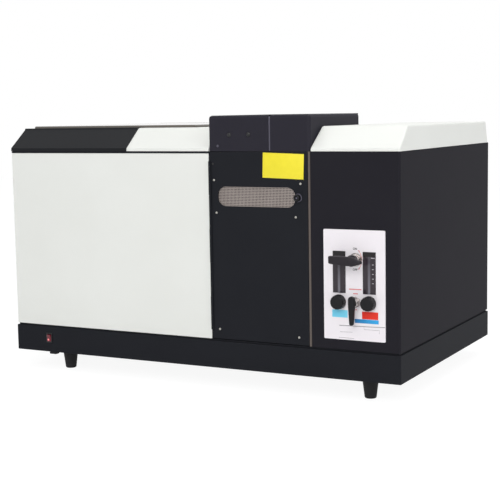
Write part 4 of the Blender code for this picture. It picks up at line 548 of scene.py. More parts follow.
def field(bm, low, high, radius):
    """A printed rectangle with rounded corners, 0.06 mm thick."""
    outline = []
    for x, z, start in ((high[0] - radius, high[1] - radius, 0), (low[0] + radius, high[1] - radius, 1),
                        (low[0] + radius, low[1] + radius, 2), (high[0] - radius, low[1] + radius, 3)):
        outline += [(x + radius * math.cos(math.pi / 2 * (start + k / 4)),
                     z + radius * math.sin(math.pi / 2 * (start + k / 4))) for k in range(5)]
    pushed(bm, outline, ink_front, ink_back, "Y")


def stroke(bm, points, width):
    """A printed line through points."""
    sides = ([], [])
    for i, (x, z) in enumerate(points):
        before, after = points[max(i - 1, 0)], points[min(i + 1, len(points) - 1)]
        run = Vector((after[0] - before[0], after[1] - before[1])).normalized()
        for side, sign in zip(sides, (1, -1)):
            side.append((x - sign * run.y * width / 2, z + sign * run.x * width / 2))
    pushed(bm, sides[0] + sides[1][::-1], ink_front, ink_back, "Y")


for name, inked, left, right, low, high, radius in (
        ("pale_blue_field", "pale blue ink", "#6FCBEA", "#7BD6F0", (0.3111, 0.1616),
         (0.3429, 0.1761), 0.0006),
        ("red_field", "red ink", "#DD2A18", "#E9321E", (0.3725, 0.1611), (0.4052, 0.1754), 0.0006),
        ("blue_field", "blue ink, fading", "#1F6FA8", "#35A9E6", (0.3575, 0.1529),
         (0.4062, 0.1606), 0.0003)):
    bm = bmesh.new()
    field(bm, low, high, radius)
    piece(name, bm, ink(inked, left, right, low[0], high[0]), "casing", "printed_panel")
lower_low, lower_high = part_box("air_valve_lever")
valve_x = (lower_low.x + lower_high.x) / 2
upper_z, lower_z = pivots["fuel_valve_turn"].z, pivots["air_valve_turn"].z
bm = bmesh.new()
arc_reach, arc_rise = 0.0126, 0.0197
arc = [(valve_x + arc_reach * math.cos(a), upper_z + arc_rise * math.sin(a))
       for a in (math.radians(degrees) for degrees in range(-62, 63, 4))]
stroke(bm, arc, 0.0010)
for end, turn in ((arc[0], -1), (arc[-1], 1)):
    stroke(bm, [(end[0] + 0.0024, end[1] - turn * 0.0012),
                (end[0] - 0.0006, end[1] + turn * 0.0004)], 0.0016)
field(bm, (valve_x - 0.0008, 0.1770), (valve_x + 0.0024, 0.1792), 0.0008)
for x_low, x_high, z in ((0.3462, 0.3716, 0.2170), (0.3545, 0.3642, 0.2087)):
    stroke(bm, [(x_low, z), (x_high, z)], 0.0019)
piece("red_lines", bm, ink("rose ink", "#DA7878", "#E08484", 0.34, 0.38), "casing", "printed_panel")
bm = bmesh.new()
stroke(bm, [(0.3256, 0.1461), (0.3880, 0.1469), (0.4188, 0.1477)], 0.0013)
stroke(bm, [(0.3269, 0.1336), (0.3528, 0.1345)], 0.0006)
stroke(bm, [(0.3764, 0.1469), (0.3764, 0.1412), (0.4077, 0.1412), (0.4077, 0.1345)], 0.0006)
stroke(bm, [(0.3248, 0.1227), (0.3558, 0.1225)], 0.0006)
piece("grey_lines", bm, ink("grey ink", "#8B8689", "#9A9598", 0.32, 0.42), "casing",
      "printed_panel")
dark_ink = ink("dark ink", "#1A181C", "#201E22", 0.34, 0.38)
letter_size, thickness, boldness = 0.0054, 0.00004, 0.00014
for word, z in (("ON", upper_z + 0.0190), ("OFF", upper_z - 0.0207)):
    curve = bpy.data.curves.new(word, "FONT")
    curve.body, curve.size, curve.extrude, curve.offset = word, letter_size, thickness, boldness
    curve.align_x = "CENTER"
    letters = bpy.data.objects.new(word, curve)
    scene.collection.objects.link(letters)
    bpy.context.view_layer.update()
    bm = bmesh.new()
    bm.from_mesh(letters.to_mesh())
    bpy.data.objects.remove(letters)
    bm.transform(Matrix.Translation((valve_x - 0.001, panel_face - 0.00006, z)) @ aim["-Y"])
    piece("printed_" + word, bm, dark_ink, "casing", "printed_panel")


# Lever valves: nickel-plated brass bodies whose hexagon nuts clamp the panel from the front, and
# moulded black levers; the upper one lies level, the lower one hangs down.

# Nickel plate on turned brass: a warm bright metal, its gloss uneven in patches 3 mm wide.
nickel = mottled("nickel-plated brass", 0.24, 300.0, 3.0, "#A9A3A1", "#CFCAC8", gloss=(0.16, 0.36),
                 Metallic=1.0)
coat(nickel, "gas_valve_block")
bm = bmesh.new()
turned(bm, [(0.0070, 0.0001), (0.0128, 0.0001), (0.0130, 0.0004), (0.0127, 0.0009),
            (0.0070, 0.0009)], (valve_x, panel_face, upper_z), "-Y", 48, closed=True)
piece("valve_washer", bm, nickel, "casing", "aluminium")

lever_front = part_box("fuel_valve_lever")[0].y
lever_plastic = moulded_plastic("moulded black nylon", "#221E23", "#2A262B", 0.42, 0.2)
bm = bmesh.new()
outline = [(-0.0420, -0.0040), (-0.0410, -0.0054), (-0.0360, -0.0062), (-0.0200, -0.0078),
           (-0.0080, -0.0087), (0.0040, -0.00875), (0.0110, -0.0080), (0.0170, -0.0062),
           (0.0218, -0.0043), (0.0230, -0.0032), (0.0232, -0.0020), (0.0227, -0.0006),
           (0.0200, 0.0014), (0.0145, 0.0044), (0.0100, 0.0064), (0.0040, 0.0082),
           (-0.0200, 0.00875), (-0.0340, 0.00875), (-0.0410, 0.0086), (-0.0424, 0.0074)]
pushed(bm, [(valve_x + x, upper_z + z) for x, z in outline], lever_front + 0.0004,
       lever_front + 0.0125, "Y", 0.0021, 4)
turned(bm, [(0, 0.0), (0.0052, 0.0), (0.0058, 0.0002), (0.0062, 0.0008), (0.0062, 0.0030),
            (0, 0.0030)], (valve_x, lever_front, upper_z), "+Y", 48)
nut_front = panel_face - 0.0056
stem = nut_front - lever_front
turned(bm, [(0.0085, 0.0060), (0.0098, 0.0100), (0.0108, 0.0116), (0.0110, 0.0130),
            (0.0110, 0.0160), (0.0101, 0.0205), (0.0096, 0.0212), (0.0046, 0.0212),
            (0.0046, stem), (0, stem)], (valve_x, lever_front, upper_z), "+Y", 48)
turned(bm, [(0.0040, stem - 0.001), (0.0040, 0.0785), (0, 0.0785)],
       (valve_x, lever_front, upper_z), "+Y", 32)
piece("upper_lever", bm, lever_plastic, "fuel_valve", "black_plastic", "fuel_valve_lever")

small_front = lower_low.y
stem = nut_front - small_front
head, tail = lower_high.z - lower_z, lower_z - lower_low.z
bm = bmesh.new()
end_radius = 0.0066
outline = [(end_radius * math.cos(a), head - end_radius + end_radius * math.sin(a))
           for a in (math.radians(degrees) for degrees in range(0, 181, 15))]
outline += [(-0.0063, -0.0060), (-0.0047, 0.0110 - tail), (-0.0040, 0.0020 - tail),
            (-0.0032, 0.0005 - tail), (-0.0018, -tail), (0.0018, -tail), (0.0032, 0.0005 - tail),
            (0.0040, 0.0020 - tail), (0.0047, 0.0110 - tail), (0.0063, -0.0060)]
pushed(bm, [(valve_x + x, lower_z + z) for x, z in outline], small_front, small_front + 0.0080,
       "Y", 0.0019, 4)
turned(bm, [(0.0046, 0.0040), (0.0046, stem), (0, stem)], (valve_x, small_front, lower_z), "+Y", 40)
turned(bm, [(0.0040, stem - 0.001), (0.0040, 0.0700), (0, 0.0700)],
       (valve_x, small_front, lower_z), "+Y", 32)
piece("lower_lever", bm, knob_plastic, "air_valve", "black_plastic", "air_valve_lever")
# A plated collar on each stem fills the space between the lever and its nut.
for body, at_z, front, start, radius in (("fuel_valve", upper_z, lever_front, 0.0214, 0.0110),
                                         ("air_valve", lower_z, small_front, 0.0084, 0.0086)):
    length = nut_front - front
    bm = bmesh.new()
    turned(bm, [(0.0048, start), (radius - 0.0006, start), (radius, start + 0.0006),
                (radius, length - 0.0006), (radius - 0.0006, length), (0.0048, length)],
           (valve_x, front, at_z), "+Y", 48, closed=True)
    piece("collar_" + body, bm, nickel, body, "aluminium")


# Flowmeters: blocks of smoked acrylic, each bored for a clear metering tube with a steel ball in
# it.  The right-hand block has a pale scale printed beside the tube.

# Smoked acrylic: dark violet-grey and glassy.  A pale upright streak over the tube in its middle is a
# painted highlight for the light in the bore; it fades upwards, and the solid end above the tube is
# darker.
smoked, tree, shader, place = start_material("smoked cast acrylic", 0.08, IOR=1.49,
                                             Specular_IOR_Level=0.3, Transmission_Weight=0.25)
apart = add_node(tree, "ShaderNodeSeparateXYZ", {}, {0: place})
off = []
for side in ("left", "right"):
    away = add_node(tree, "ShaderNodeMath",
                    {"operation": "SUBTRACT", 1: centre("meter_float_" + side).x},
                    {0: apart.outputs["X"]})
    off.append(add_node(tree, "ShaderNodeMath", {"operation": "ABSOLUTE"}, {0: away.outputs[0]}))
nearest = add_node(tree, "ShaderNodeMath", {"operation": "MINIMUM"},
                   {0: off[0].outputs[0], 1: off[1].outputs[0]})
# Painted highlight: the base colour turns pale within a few millimetres of each tube's axis.
painted_tube_highlight = add_node(tree, "ShaderNodeMapRange", {"From Min": 0.0008, "From Max": 0.0034,
                  "To Min": 1.0, "To Max": 0.0}, {"Value": nearest.outputs[0]})
meter_low, meter_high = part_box("flowmeter_right")
upwards = add_node(tree, "ShaderNodeMapRange",
                   {"From Min": meter_low.z, "From Max": meter_high.z - 0.008, "To Min": 1.0,
                    "To Max": 0.25}, {"Value": apart.outputs["Z"]})
share = add_node(tree, "ShaderNodeMath", {"operation": "MULTIPLY"},
                 {0: painted_tube_highlight.outputs["Result"], 1: upwards.outputs["Result"]})
tint = add_node(tree, "ShaderNodeMix", {"data_type": "RGBA", 6: linear("#3B333A"),
                7: linear("#8E8C96")}, {0: share.outputs[0]})
solid = add_node(tree, "ShaderNodeMath", {"operation": "GREATER_THAN", 1: meter_high.z - 0.0085},
                 {0: apart.outputs["Z"]})
tint = add_node(tree, "ShaderNodeMix", {"data_type": "RGBA", 7: linear("#1E191D")},
                {0: solid.outputs[0], 6: tint.outputs[2]})
tree.links.new(tint.outputs[2], shader.inputs["Base Color"])
# Clear acrylic tube, etched inside: milky, and hardly seen through the smoked block round it.
clear_tube = mottled("clear acrylic tube, etched inside", 0.15, 60.0, 2.0, "#D8D4DC", "#E8E5EA",
                     IOR=1.49, Transmission_Weight=0.55)
# Polished steel ball: a tiny mirror, broken only by faint scuffs.
ball_steel = mottled("polished steel", 0.1, 900.0, 2.0, "#B5B4B1", "#D2D1CE", Metallic=1.0)

for side in ("left", "right"):
    low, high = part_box("flowmeter_" + side)
    middle = (low.x + high.x) / 2
    ball = centre("meter_float_" + side)
    bore_start, tube_start, ball_radius = 0.0068, 0.0072, 0.0026
    body_bm, bore = bmesh.new(), bmesh.new()
    moulded_box(body_bm, low, high, 0.0006, 2)
    rod(bore, 0.0048, bore_start, high.z - low.z - bore_start, (ball.x, ball.y, low.z), "+Z", 40)
    piece("meter_block_" + side, carved(body_bm, bore), smoked, "casing", "smoked_acrylic",
          "flowmeter_" + side)
    bm = bmesh.new()
    bottom, top = low.z + tube_start, high.z - tube_start
    turned(bm, [(0.0031, bottom), (0.0046, bottom), (0.0046, top), (0.0031, top)],
           (ball.x, ball.y, 0), "+Z", 40, closed=True)
    piece("meter_tube_" + side, bm, clear_tube, "casing", "smoked_acrylic")
    bm = bmesh.new()
    turned(bm, [(ball_radius * math.sin(math.pi * k / 16), -ball_radius * math.cos(math.pi * k / 16))
                for k in range(17)], ball, "+Z", 32)
    piece("float_ball_" + side, bm, ball_steel, "float_" + side, "stainless_steel",
          "meter_float_" + side)
    if side == "right":
        bm = bmesh.new()
        for below, half in ((0.0109, 0.0038), (0.0234, 0.0015), (0.0323, 0.0015),
                            (0.0413, 0.0015), (0.0502, 0.0015), (0.0589, 0.0015)):
            moulded_box(bm, (middle + 0.0077 - half, low.y - 0.0001, high.z - below - 0.0007),
                        (middle + 0.0077 + half, low.y + 0.0001, high.z - below + 0.0007), 0.00004, 1)
        piece("meter_scale", bm, ink("white ink", "#B2AEB4", "#BCB8BE", 0.38, 0.40), "casing",
              "printed_panel")


# Needle knobs: fluted phenolic knobs with a domed face, on spindles that reach through the panel
# into the valve block.

flute_count = 16
for side in ("left", "right"):
    low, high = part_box("flow_knob_" + side)
    middle = ((low.x + high.x) / 2, low.y, (low.z + high.z) / 2)
    bm = bmesh.new()
    turned(bm, [(0, 0.0006), (0.0060, 0.0007), (0.0090, 0.0002), (0.0112, 0.0), (0.0126, 0.0005),
                (0.0135, 0.0018), (0.0138, 0.0032), (0.0142, 0.0120), (0.0142, 0.0134),
                (0.0136, 0.0140), (0.0030, 0.0140), (0.0030, high.y - low.y), (0, high.y - low.y)],
           middle, "+Y", 128,
           reach=lambda angle, height: (1 - 0.05 * max(0.0, math.cos(flute_count * angle)) ** 0.7
                                        if 0.001 < height < 0.0125 else 1))
    piece("needle_knob_" + side, bm, knob_plastic, "flow_knob_" + side, "black_plastic",
          "flow_knob_" + side)


# Light path: a quartz window in the gas section's wall and a lens in a flanged aluminium tube on
# the other side of the burner; the tube's flange has three screws.

# Machined aluminium: pale and cool, its gloss uneven in soft patches 4 mm wide.
aluminium = mottled("machined aluminium", 0.36, 240.0, 5.0, "#A9ABAD", "#C6C8CA", gloss=(0.28, 0.46),
                    Metallic=1.0)
# Fused quartz: clear and polished, with a trace of violet coating.
quartz = mottled("fused quartz", 0.02, 30.0, 1.0, "#E6E4F2", "#F4F3FA", IOR=1.46,
                 Transmission_Weight=0.95)
coat(quartz, "beam_window")
coat(aluminium, "lens_tube")
tube, flange_front = centre("lens_tube"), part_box("lens_tube")[1].x - 0.0040
screw_circle = 0.0218
cross_heads("lens_screws",
            [(flange_front, tube.y + screw_circle * math.cos(a), tube.z + screw_circle * math.sin(a))
             for a in (math.pi / 2, math.pi * 7 / 6, math.pi * 11 / 6)],
            "-X", 0.0020, zinc, "casing", "zinc_plate")


# Lamp turret: machined aluminium discs on a shaft that turns in a stand, with a small motor on
# its far side.  Four lamps sit in it, each a glass envelope on a moulded socket.

coat(aluminium, "turret_stand", "lamp_turret")
# Lamp glass: thin borosilicate, clear, with faint smoky clouds that long use has left in it.
lamp_glass = mottled("borosilicate glass", 0.03, 40.0, 2.0, "#D9DEE0", "#F2F5F6", IOR=1.47,
                     Transmission_Weight=0.95)
for number in range(1, 5):
    name = f"hollow_cathode_lamp_{number}"
    low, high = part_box(name)
    start = (low.x, (low.y + high.y) / 2, (low.z + high.z) / 2)
    bm = bmesh.new()
    turned(bm, [(0, 0.152), (0.0105, 0.152), (0.0105, 0.1325), (0.0114, 0.1290), (0.0150, 0.1240),
                (0.0178, 0.1190), (0.0185, 0.1140), (0.0185, 0.0310), (0.0178, 0.0285),
                (0.0165, 0.0282), (0.0155, 0.0300), (0.0172, 0.0320), (0.0172, 0.1130),
                (0.0165, 0.1180), (0.0092, 0.1300), (0.0092, 0.1495), (0, 0.1495)],
           start, "+X", 48)
    piece(f"lamp_envelope_{number}", bm, lamp_glass, "turret", "lamp_glass", name)
    bm = bmesh.new()
    turned(bm, [(0, 0), (0.0155, 0), (0.0165, 0.0010), (0.0165, 0.0120), (0.0160, 0.0125),
                (0.0160, 0.0145), (0.0165, 0.0150), (0.0165, 0.0272), (0.0158, 0.0282),
                (0, 0.0284)], start, "+X", 48)
    piece(f"lamp_socket_{number}", bm, black_abs, "turret", "black_plastic")
    bm = bmesh.new()
    turned(bm, [(0, 0.0700), (0.0042, 0.0700), (0.0048, 0.0706), (0.0048, 0.0880),
                (0.0022, 0.0880), (0.0022, 0.0760), (0, 0.0760)], start, "+X", 32)
    turned(bm, [(0.0049, 0.0740), (0.0150, 0.0740), (0.0150, 0.0748), (0.0049, 0.0748)],
           start, "+X", 40, closed=True)
    turned(bm, [(0.0062, 0.0900), (0.0082, 0.0900), (0.0082, 0.0912), (0.0062, 0.0912)],
           start, "+X", 32, closed=True)
    for y, z in ((0.0075, 0), (-0.0075, 0), (0, 0.0075)):
        rod(bm, 0.0007, 0.0284, 0.0905, (start[0], start[1] + y, start[2] + z), "+X", 12)
    piece(f"lamp_electrodes_{number}", bm, ball_steel, "turret", "stainless_steel")


# Background lamp and power supply: a black vented lamp housing, and an aluminium supply with
# fins on top and a row of screw terminals in white nylon at its front.

coat(black_coat, "background_lamp")
coat(aluminium, "power_supply")
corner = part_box("power_supply")[0]
terminal_count, terminal_pitch, terminal_width = 6, 0.0200, 0.0180
terminal_front, low_z, high_z = corner.y - 0.0110, corner.z + 0.0200, corner.z + 0.0380
starts = [corner.x + 0.030 + number * terminal_pitch for number in range(terminal_count)]
bm = bmesh.new()
for x in starts:
    moulded_box(bm, (x, terminal_front, low_z), (x + terminal_width, corner.y + 0.0010, high_z),
                0.0012, 2)
white_nylon = moulded_plastic("moulded natural nylon", "#D9D6C9", "#E2DFD3", 0.5)
piece("supply_terminals", bm, white_nylon, "casing", "grey_polymer")
cross_heads("terminal_screws",
            [(x + terminal_width / 2, terminal_front, (low_z + high_z) / 2) for x in starts],
            "-Y", 0.0034, zinc, "casing", "zinc_plate")


# Main board: green epoxy-glass on brass posts, with moulded chips, aluminium capacitors, a
# finned heat sink and a steel port that looks out of the back.

# The node's box also holds the port, so the sheet ends before it; the sheet is 160 mm deep.
board_low, board_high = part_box("main_board")
board_low.y, board_high.y = board_high.y - 0.1775, board_high.y - 0.0175
wide, deep = board_high.x - board_low.x, board_high.y - board_low.y
board_z = board_low.z + 0.0100
board_top = board_z + 0.0016
# Solder mask over copper: green lacquer in which the tracks show as lighter raised lines.
mask, tree, shader, place = start_material("green solder mask on epoxy-glass", 0.3)
tracks = add_node(tree, "ShaderNodeTexBrick",
                  {"Scale": 90.0, "Mortar Size": 0.03, "Color1": linear("#0F4A2A"),
                   "Color2": linear("#12532F"), "Mortar": linear("#2C7A4B")}, {"Vector": place})
tree.links.new(tracks.outputs["Color"], shader.inputs["Base Color"])
bump = add_node(tree, "ShaderNodeBump", {"Strength": 1.0, "Distance": 0.00003},
                {"Height": tracks.outputs["Fac"]})
tree.links.new(bump.outputs["Normal"], shader.inputs["Normal"])
bm = bmesh.new()
moulded_box(bm, (board_low.x, board_low.y, board_z), (board_high.x, board_high.y, board_top),
            0.0003, 1)
piece("board_sheet", bm, mask, "casing", "circuit_board", "main_board")
bm = bmesh.new()
for x_share, y_share, half_x, half_y in ((0.70, 0.28, 0.0150, 0.0150), (0.22, 0.74, 0.0200, 0.0070),
                                         (0.42, 0.74, 0.0090, 0.0060), (0.42, 0.55, 0.0090, 0.0045),
                                         (0.84, 0.62, 0.0110, 0.0040), (0.62, 0.55, 0.0110, 0.0040)):
    x, y = board_low.x + wide * x_share, board_low.y + deep * y_share
    moulded_box(bm, (x - half_x, y - half_y, board_z + 0.0012),
                (x + half_x, y + half_y, board_z + 0.0050), 0.0005, 2)
    for side in (-1, 1):
        for k in range(int(half_x / 0.0013)):
            leg = x - half_x + 0.0016 + k * 0.00254
            if leg < x + half_x - 0.001:
                moulded_box(bm, (leg - 0.0003, y + side * half_y - 0.0006, board_z + 0.0014),
                            (leg + 0.0003, y + side * half_y + 0.0010, board_z + 0.0026), 0.0001, 1)
piece("board_chips", bm, black_abs, "casing", "black_plastic")
bm = bmesh.new()
for x_share, y_share, radius, height in ((0.10, 0.20, 0.0080, 0.020), (0.10, 0.36, 0.0080, 0.020),
                                         (0.52, 0.20, 0.0052, 0.014), (0.52, 0.33, 0.0052, 0.014),
                                         (0.90, 0.20, 0.0052, 0.014)):
    at = (board_low.x + wide * x_share, board_low.y + deep * y_share, board_z + 0.0014)
    turned(bm, [(0, 0), (radius, 0), (radius, 0.0016), (radius * 0.94, 0.0022), (radius, 0.0030),
                (radius, height - 0.0008), (radius * 0.93, height), (radius * 0.80, height),
                (radius * 0.78, height - 0.0003), (0, height - 0.0003)], at, "+Z", 32)
x, y = board_low.x + wide * 0.28, board_low.y + deep * 0.30
fin_count, fin_pitch, fin_thickness = 9, 0.0042, 0.0014
for number in range(fin_count):
    fin = x - 0.0180 + number * fin_pitch
    moulded_box(bm, (fin, y - 0.0150, board_z + 0.0044),
                (fin + fin_thickness, y + 0.0150, board_z + 0.0180), 0.0002, 1)
moulded_box(bm, (x - 0.0182, y - 0.0152, board_z + 0.0014), (x + 0.0172, y + 0.0152, board_z + 0.0046),
            0.0004, 2)
piece("board_cans", bm, aluminium, "casing", "aluminium")
# Brass: warm yellow, dulled by handling in soft clouds.
brass = mottled("turned brass", 0.3, 130.0, 4.0, "#A5803F", "#CBA65B", gloss=(0.22, 0.42),
                Metallic=1.0)
post_inset = 0.010
posts = [(x, y) for x in (board_low.x + post_inset, board_high.x - post_inset)
         for y in (board_low.y + post_inset, board_high.y - post_inset)]
bm = bmesh.new()
for x, y in posts:
    rod(bm, 0.0030, 0, board_z - board_low.z, (x, y, board_low.z), "+Z", 6)
piece("board_posts", bm, brass, "casing", "brass")
cross_heads("board_screws", [(x, y, board_top) for x, y in posts], "+Z", 0.0027, zinc, "casing",
            "zinc_plate")
port_half_height = 0.00625
port_x, port_z = board_low.x + wide * 0.5, board_z + 0.0008 + port_half_height
rear_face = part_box("rear_panel")[1].y
shell, mouth = bmesh.new(), bmesh.new()
outline = [(-0.00765, -0.0045), (0.00765, -0.0045), (0.0090, 0.0045), (-0.0090, 0.0045)]
pushed(shell, [(port_x + x, port_z + z) for x, z in outline], rear_face - 0.0030,
       rear_face + 0.0060, "Y", 0.0010, 2)
pushed(mouth, [(port_x + 0.86 * x, port_z + 0.84 * z) for x, z in outline], rear_face + 0.0005,
       rear_face + 0.0080, "Y", 0.0008, 2)
piece("port_shell", carved(shell, mouth), zinc, "casing", "zinc_plate")
bm = bmesh.new()
moulded_box(bm, (port_x - 0.0155, rear_face - 0.0138, port_z - port_half_height),
            (port_x + 0.0155, rear_face - 0.0018, port_z + port_half_height), 0.0008, 2)
for count, z in ((5, 0.0018), (4, -0.0018)):
    for k in range(count):
        turned(bm, [(0.0005, 0), (0.0005, 0.0040), (0.0003, 0.0045), (0, 0.0045)],
               (port_x + (k - (count - 1) / 2) * 0.00277, rear_face + 0.0005, port_z + z), "+Y", 10)
piece("port_body", bm, black_abs, "casing", "black_plastic")


# Monochromator: a cast aluminium box on four posts with a tube for the beam, a screwed cover
# and the detector's can at its back.

# Sand-cast aluminium: pale grey with a fine pitted skin.
cast = mottled("sand-cast aluminium", 0.55, 500.0, 6.0, "#8E9092", "#ABADAF", relief=0.00015,
               Metallic=0.85)
coat(cast, "monochromator")
mono_low, mono_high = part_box("monochromator")
cover_top = mono_high.z + 0.0022
bm = bmesh.new()
moulded_box(bm, (mono_high.x - 0.1530, mono_low.y + 0.0090, mono_high.z - 0.0002),
            (mono_high.x - 0.0080, mono_low.y + 0.3210, cover_top), 0.0010, 2)
piece("monochromator_cover", bm, aluminium, "casing", "aluminium")
cross_heads("cover_screws",
            [(mono_high.x - right, mono_low.y + back, cover_top) for right in (0.1460, 0.0150)
             for back in (0.016, 0.118, 0.212, 0.314)],
            "+Z", 0.0034, zinc, "casing", "zinc_plate")


# Burner: a stainless slot burner on the neck of a grey polymer spray chamber, with a brass
# nebuliser screwed into the chamber's front.

# Stainless steel: brushed along X in lines 0.5 mm apart here, blued and straw-coloured near
# the slot, where the flame stands.
slot_y, slot_z = centre("burner_head").y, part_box("burner_head")[1].z
burner_steel, tree, shader, place = start_material("heat-tinted stainless steel", 0.32,
                                                   Metallic=1.0)
apart = add_node(tree, "ShaderNodeSeparateXYZ", {}, {0: place})
away = add_node(tree, "ShaderNodeMath", {"operation": "SUBTRACT", 1: slot_y},
                {0: apart.outputs["Y"]})
away = add_node(tree, "ShaderNodeMath", {"operation": "ABSOLUTE"}, {0: away.outputs[0]})
down = add_node(tree, "ShaderNodeMath", {"operation": "SUBTRACT", 0: slot_z},
                {1: apart.outputs["Z"]})
from_slot = add_node(tree, "ShaderNodeMath", {"operation": "ADD"},
                     {0: away.outputs[0], 1: down.outputs[0]})
share = add_node(tree, "ShaderNodeMapRange", {"From Min": 0.0, "From Max": 0.030},
                 {"Value": from_slot.outputs[0]})
bands = add_node(tree, "ShaderNodeValToRGB", {}, {0: share.outputs["Result"]})
bands.color_ramp.elements[0].color = linear("#3E4760")
bands.color_ramp.elements[1].color = linear("#8E8C88")
for spot, colour in ((0.25, "#5C4660"), (0.45, "#7A6344"), (0.70, "#857A66")):
    bands.color_ramp.elements.new(spot).color = linear(colour)
brushed = add_node(tree, "ShaderNodeMapping", {"Scale": (20.0, 2000.0, 2000.0)}, {"Vector": place})
lines = add_node(tree, "ShaderNodeTexNoise", {"Scale": 1.0, "Detail": 3.0},
                 {"Vector": brushed.outputs["Vector"]})
tint = add_node(tree, "ShaderNodeMix", {"data_type": "RGBA", "blend_type": "MULTIPLY", 0: 0.5},
                {6: bands.outputs["Color"], 7: lines.outputs["Color"]})
tree.links.new(tint.outputs[2], shader.inputs["Base Color"])
gloss = add_node(tree, "ShaderNodeMapRange", {"To Min": 0.42, "To Max": 0.6},
                 {"Value": lines.outputs["Fac"]})
tree.links.new(gloss.outputs["Result"], shader.inputs["Roughness"])
coat(burner_steel, "burner_head")
grey_polymer = moulded_plastic("moulded grey polypropylene", "#6E7276", "#7B7F83", 0.45)
coat(grey_polymer, "spray_chamber")
low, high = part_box("nebuliser")
middle = ((low.x + high.x) / 2, high.y, (low.z + high.z) / 2)
knurl_count = 32
bm = bmesh.new()
turned(bm, [(0, 0.0297), (0.0012, 0.0297), (0.0012, 0.0216), (0.0046, 0.0216), (0.0055, 0.0206),
            (0.0055, 0.0126), (0.0088, 0.0120), (0.0100, 0.0105), (0.0100, 0.0014),
            (0.0094, 0.0003), (0, 0.0003)], middle, "-Y", 96,
       reach=lambda angle, height: (1 - 0.03 * max(0.0, math.cos(knurl_count * angle))
                                    if height < 0.011 else 1))
piece("knurled_nebuliser", bm, brass, "burner", "brass", "nebuliser")


# Burner lift: an aluminium carriage with a rack that slides on two rods, and a fluted knob whose
# steel spindle carries the pinion.

coat(aluminium, "burner_carriage", "burner_guide")
knob_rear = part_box("lift_knob")[0].y + 0.0152
# One node, two finishes: black moulded plastic in front, turned steel behind it.
lift_finish, tree, shader, place = start_material("black plastic knob on a steel spindle", 0.4)
apart = add_node(tree, "ShaderNodeSeparateXYZ", {}, {0: place})
metal = add_node(tree, "ShaderNodeMath", {"operation": "GREATER_THAN", 1: knob_rear},
                 {0: apart.outputs["Y"]})
grain = add_node(tree, "ShaderNodeTexNoise", {"Scale": 1500.0, "Detail": 2.0}, {"Vector": place})
plastic = add_node(tree, "ShaderNodeMix", {"data_type": "RGBA", 6: linear("#151517"),
                   7: linear("#202023")}, {0: grain.outputs["Fac"]})
steel = add_node(tree, "ShaderNodeMix", {"data_type": "RGBA", 6: linear("#A6A5A1"),
                 7: linear("#BFBEBA")}, {0: grain.outputs["Fac"]})
tint = add_node(tree, "ShaderNodeMix", {"data_type": "RGBA"},
                {0: metal.outputs[0], 6: plastic.outputs[2], 7: steel.outputs[2]})
tree.links.new(tint.outputs[2], shader.inputs["Base Color"])
tree.links.new(metal.outputs[0], shader.inputs["Metallic"])
coat(lift_finish, "lift_knob")


# Drip tray: a shallow tray folded from brushed stainless sheet, loose on the deck.

# Brushed stainless sheet: lines along X, 0.5 mm apart here, with a few dried-drop stains.
tray_steel, tree, shader, place = start_material("brushed stainless sheet", 0.35, Metallic=1.0)
along = add_node(tree, "ShaderNodeMapping", {"Scale": (25.0, 2000.0, 2000.0)}, {"Vector": place})
lines = add_node(tree, "ShaderNodeTexNoise", {"Scale": 1.0, "Detail": 3.0},
                 {"Vector": along.outputs["Vector"]})
tint = add_node(tree, "ShaderNodeMix", {"data_type": "RGBA", 6: linear("#9C9B97"),
                7: linear("#BDBCB8")}, {0: lines.outputs["Fac"]})
tree.links.new(tint.outputs[2], shader.inputs["Base Color"])
stain = add_node(tree, "ShaderNodeTexNoise", {"Scale": 60.0, "Detail": 3.0}, {"Vector": place})
gloss = add_node(tree, "ShaderNodeMapRange", {"From Min": 0.35, "From Max": 0.65,
                 "To Min": 0.24, "To Max": 0.5}, {"Value": stain.outputs["Fac"]})
tree.links.new(gloss.outputs["Result"], shader.inputs["Roughness"])
coat(tray_steel, "drip_tray")


# Back: a black panel with louvres, screwed all round, with the fan behind a wire guard, the
# moulded mains inlet, and a brass manifold with two hose fittings.

coat(black_coat, "rear_panel")
coat(black_abs, "fan_frame", "fan_rotor", "mains_inlet")
coat(brass, "gas_inlets")
cross_heads("rear_screws",
            [(x, rear_face, z) for x in (-0.4400, 0.4400) for z in (0.1100, 0.2880, 0.4660)]
            + [(x, rear_face, z) for x in (-0.1500, 0.1500) for z in (0.1100, 0.4660)],
            "+Y", 0.0028, black_screw, "casing", "black_powder_coat")
fan = centre("fan_frame")
wire, eye = 0.0008, 0.0505
corner_angles = [math.pi / 4 + math.pi / 2 * number for number in range(4)]
bm = bmesh.new()
for ring in (0.0125, 0.0205, 0.0285, 0.0365):
    turned(bm, [(ring + wire * math.cos(math.pi * k / 4), 0.0012 + wire * math.sin(math.pi * k / 4))
                for k in range(8)], (fan.x, rear_face, fan.z), "+Y", 64, closed=True)
for angle in corner_angles:
    arm = bmesh.new()
    rod(arm, wire, 0.0125, 0.0475, (0, 0, 0), "+Z", 10)
    turned(arm, [(0.0022, -wire), (0.0036, -wire), (0.0036, wire), (0.0022, wire)],
           (0, 0, eye), "+Y", 24, closed=True)
    arm.transform(Matrix.Translation((fan.x, rear_face + 0.0022, fan.z))
                  @ Matrix.Rotation(angle, 4, "Y"))
    mesh = bpy.data.meshes.new("guard arm")
    arm.to_mesh(mesh)
    arm.free()
    bm.from_mesh(mesh)
piece("fan_guard", bm, zinc, "casing", "zinc_plate")
cross_heads("fan_screws",
            [(fan.x + eye * math.cos(angle), rear_face + 0.0028, fan.z + eye * math.sin(angle))
             for angle in corner_angles],
            "+Y", 0.0030, black_screw, "casing", "black_powder_coat")


# Camera, floor and lamps: the photograph's view, on a plain white sweep in soft light.

camera = bpy.data.objects.new("camera", bpy.data.cameras.new("camera"))
scene.collection.objects.link(camera)
scene.camera = camera
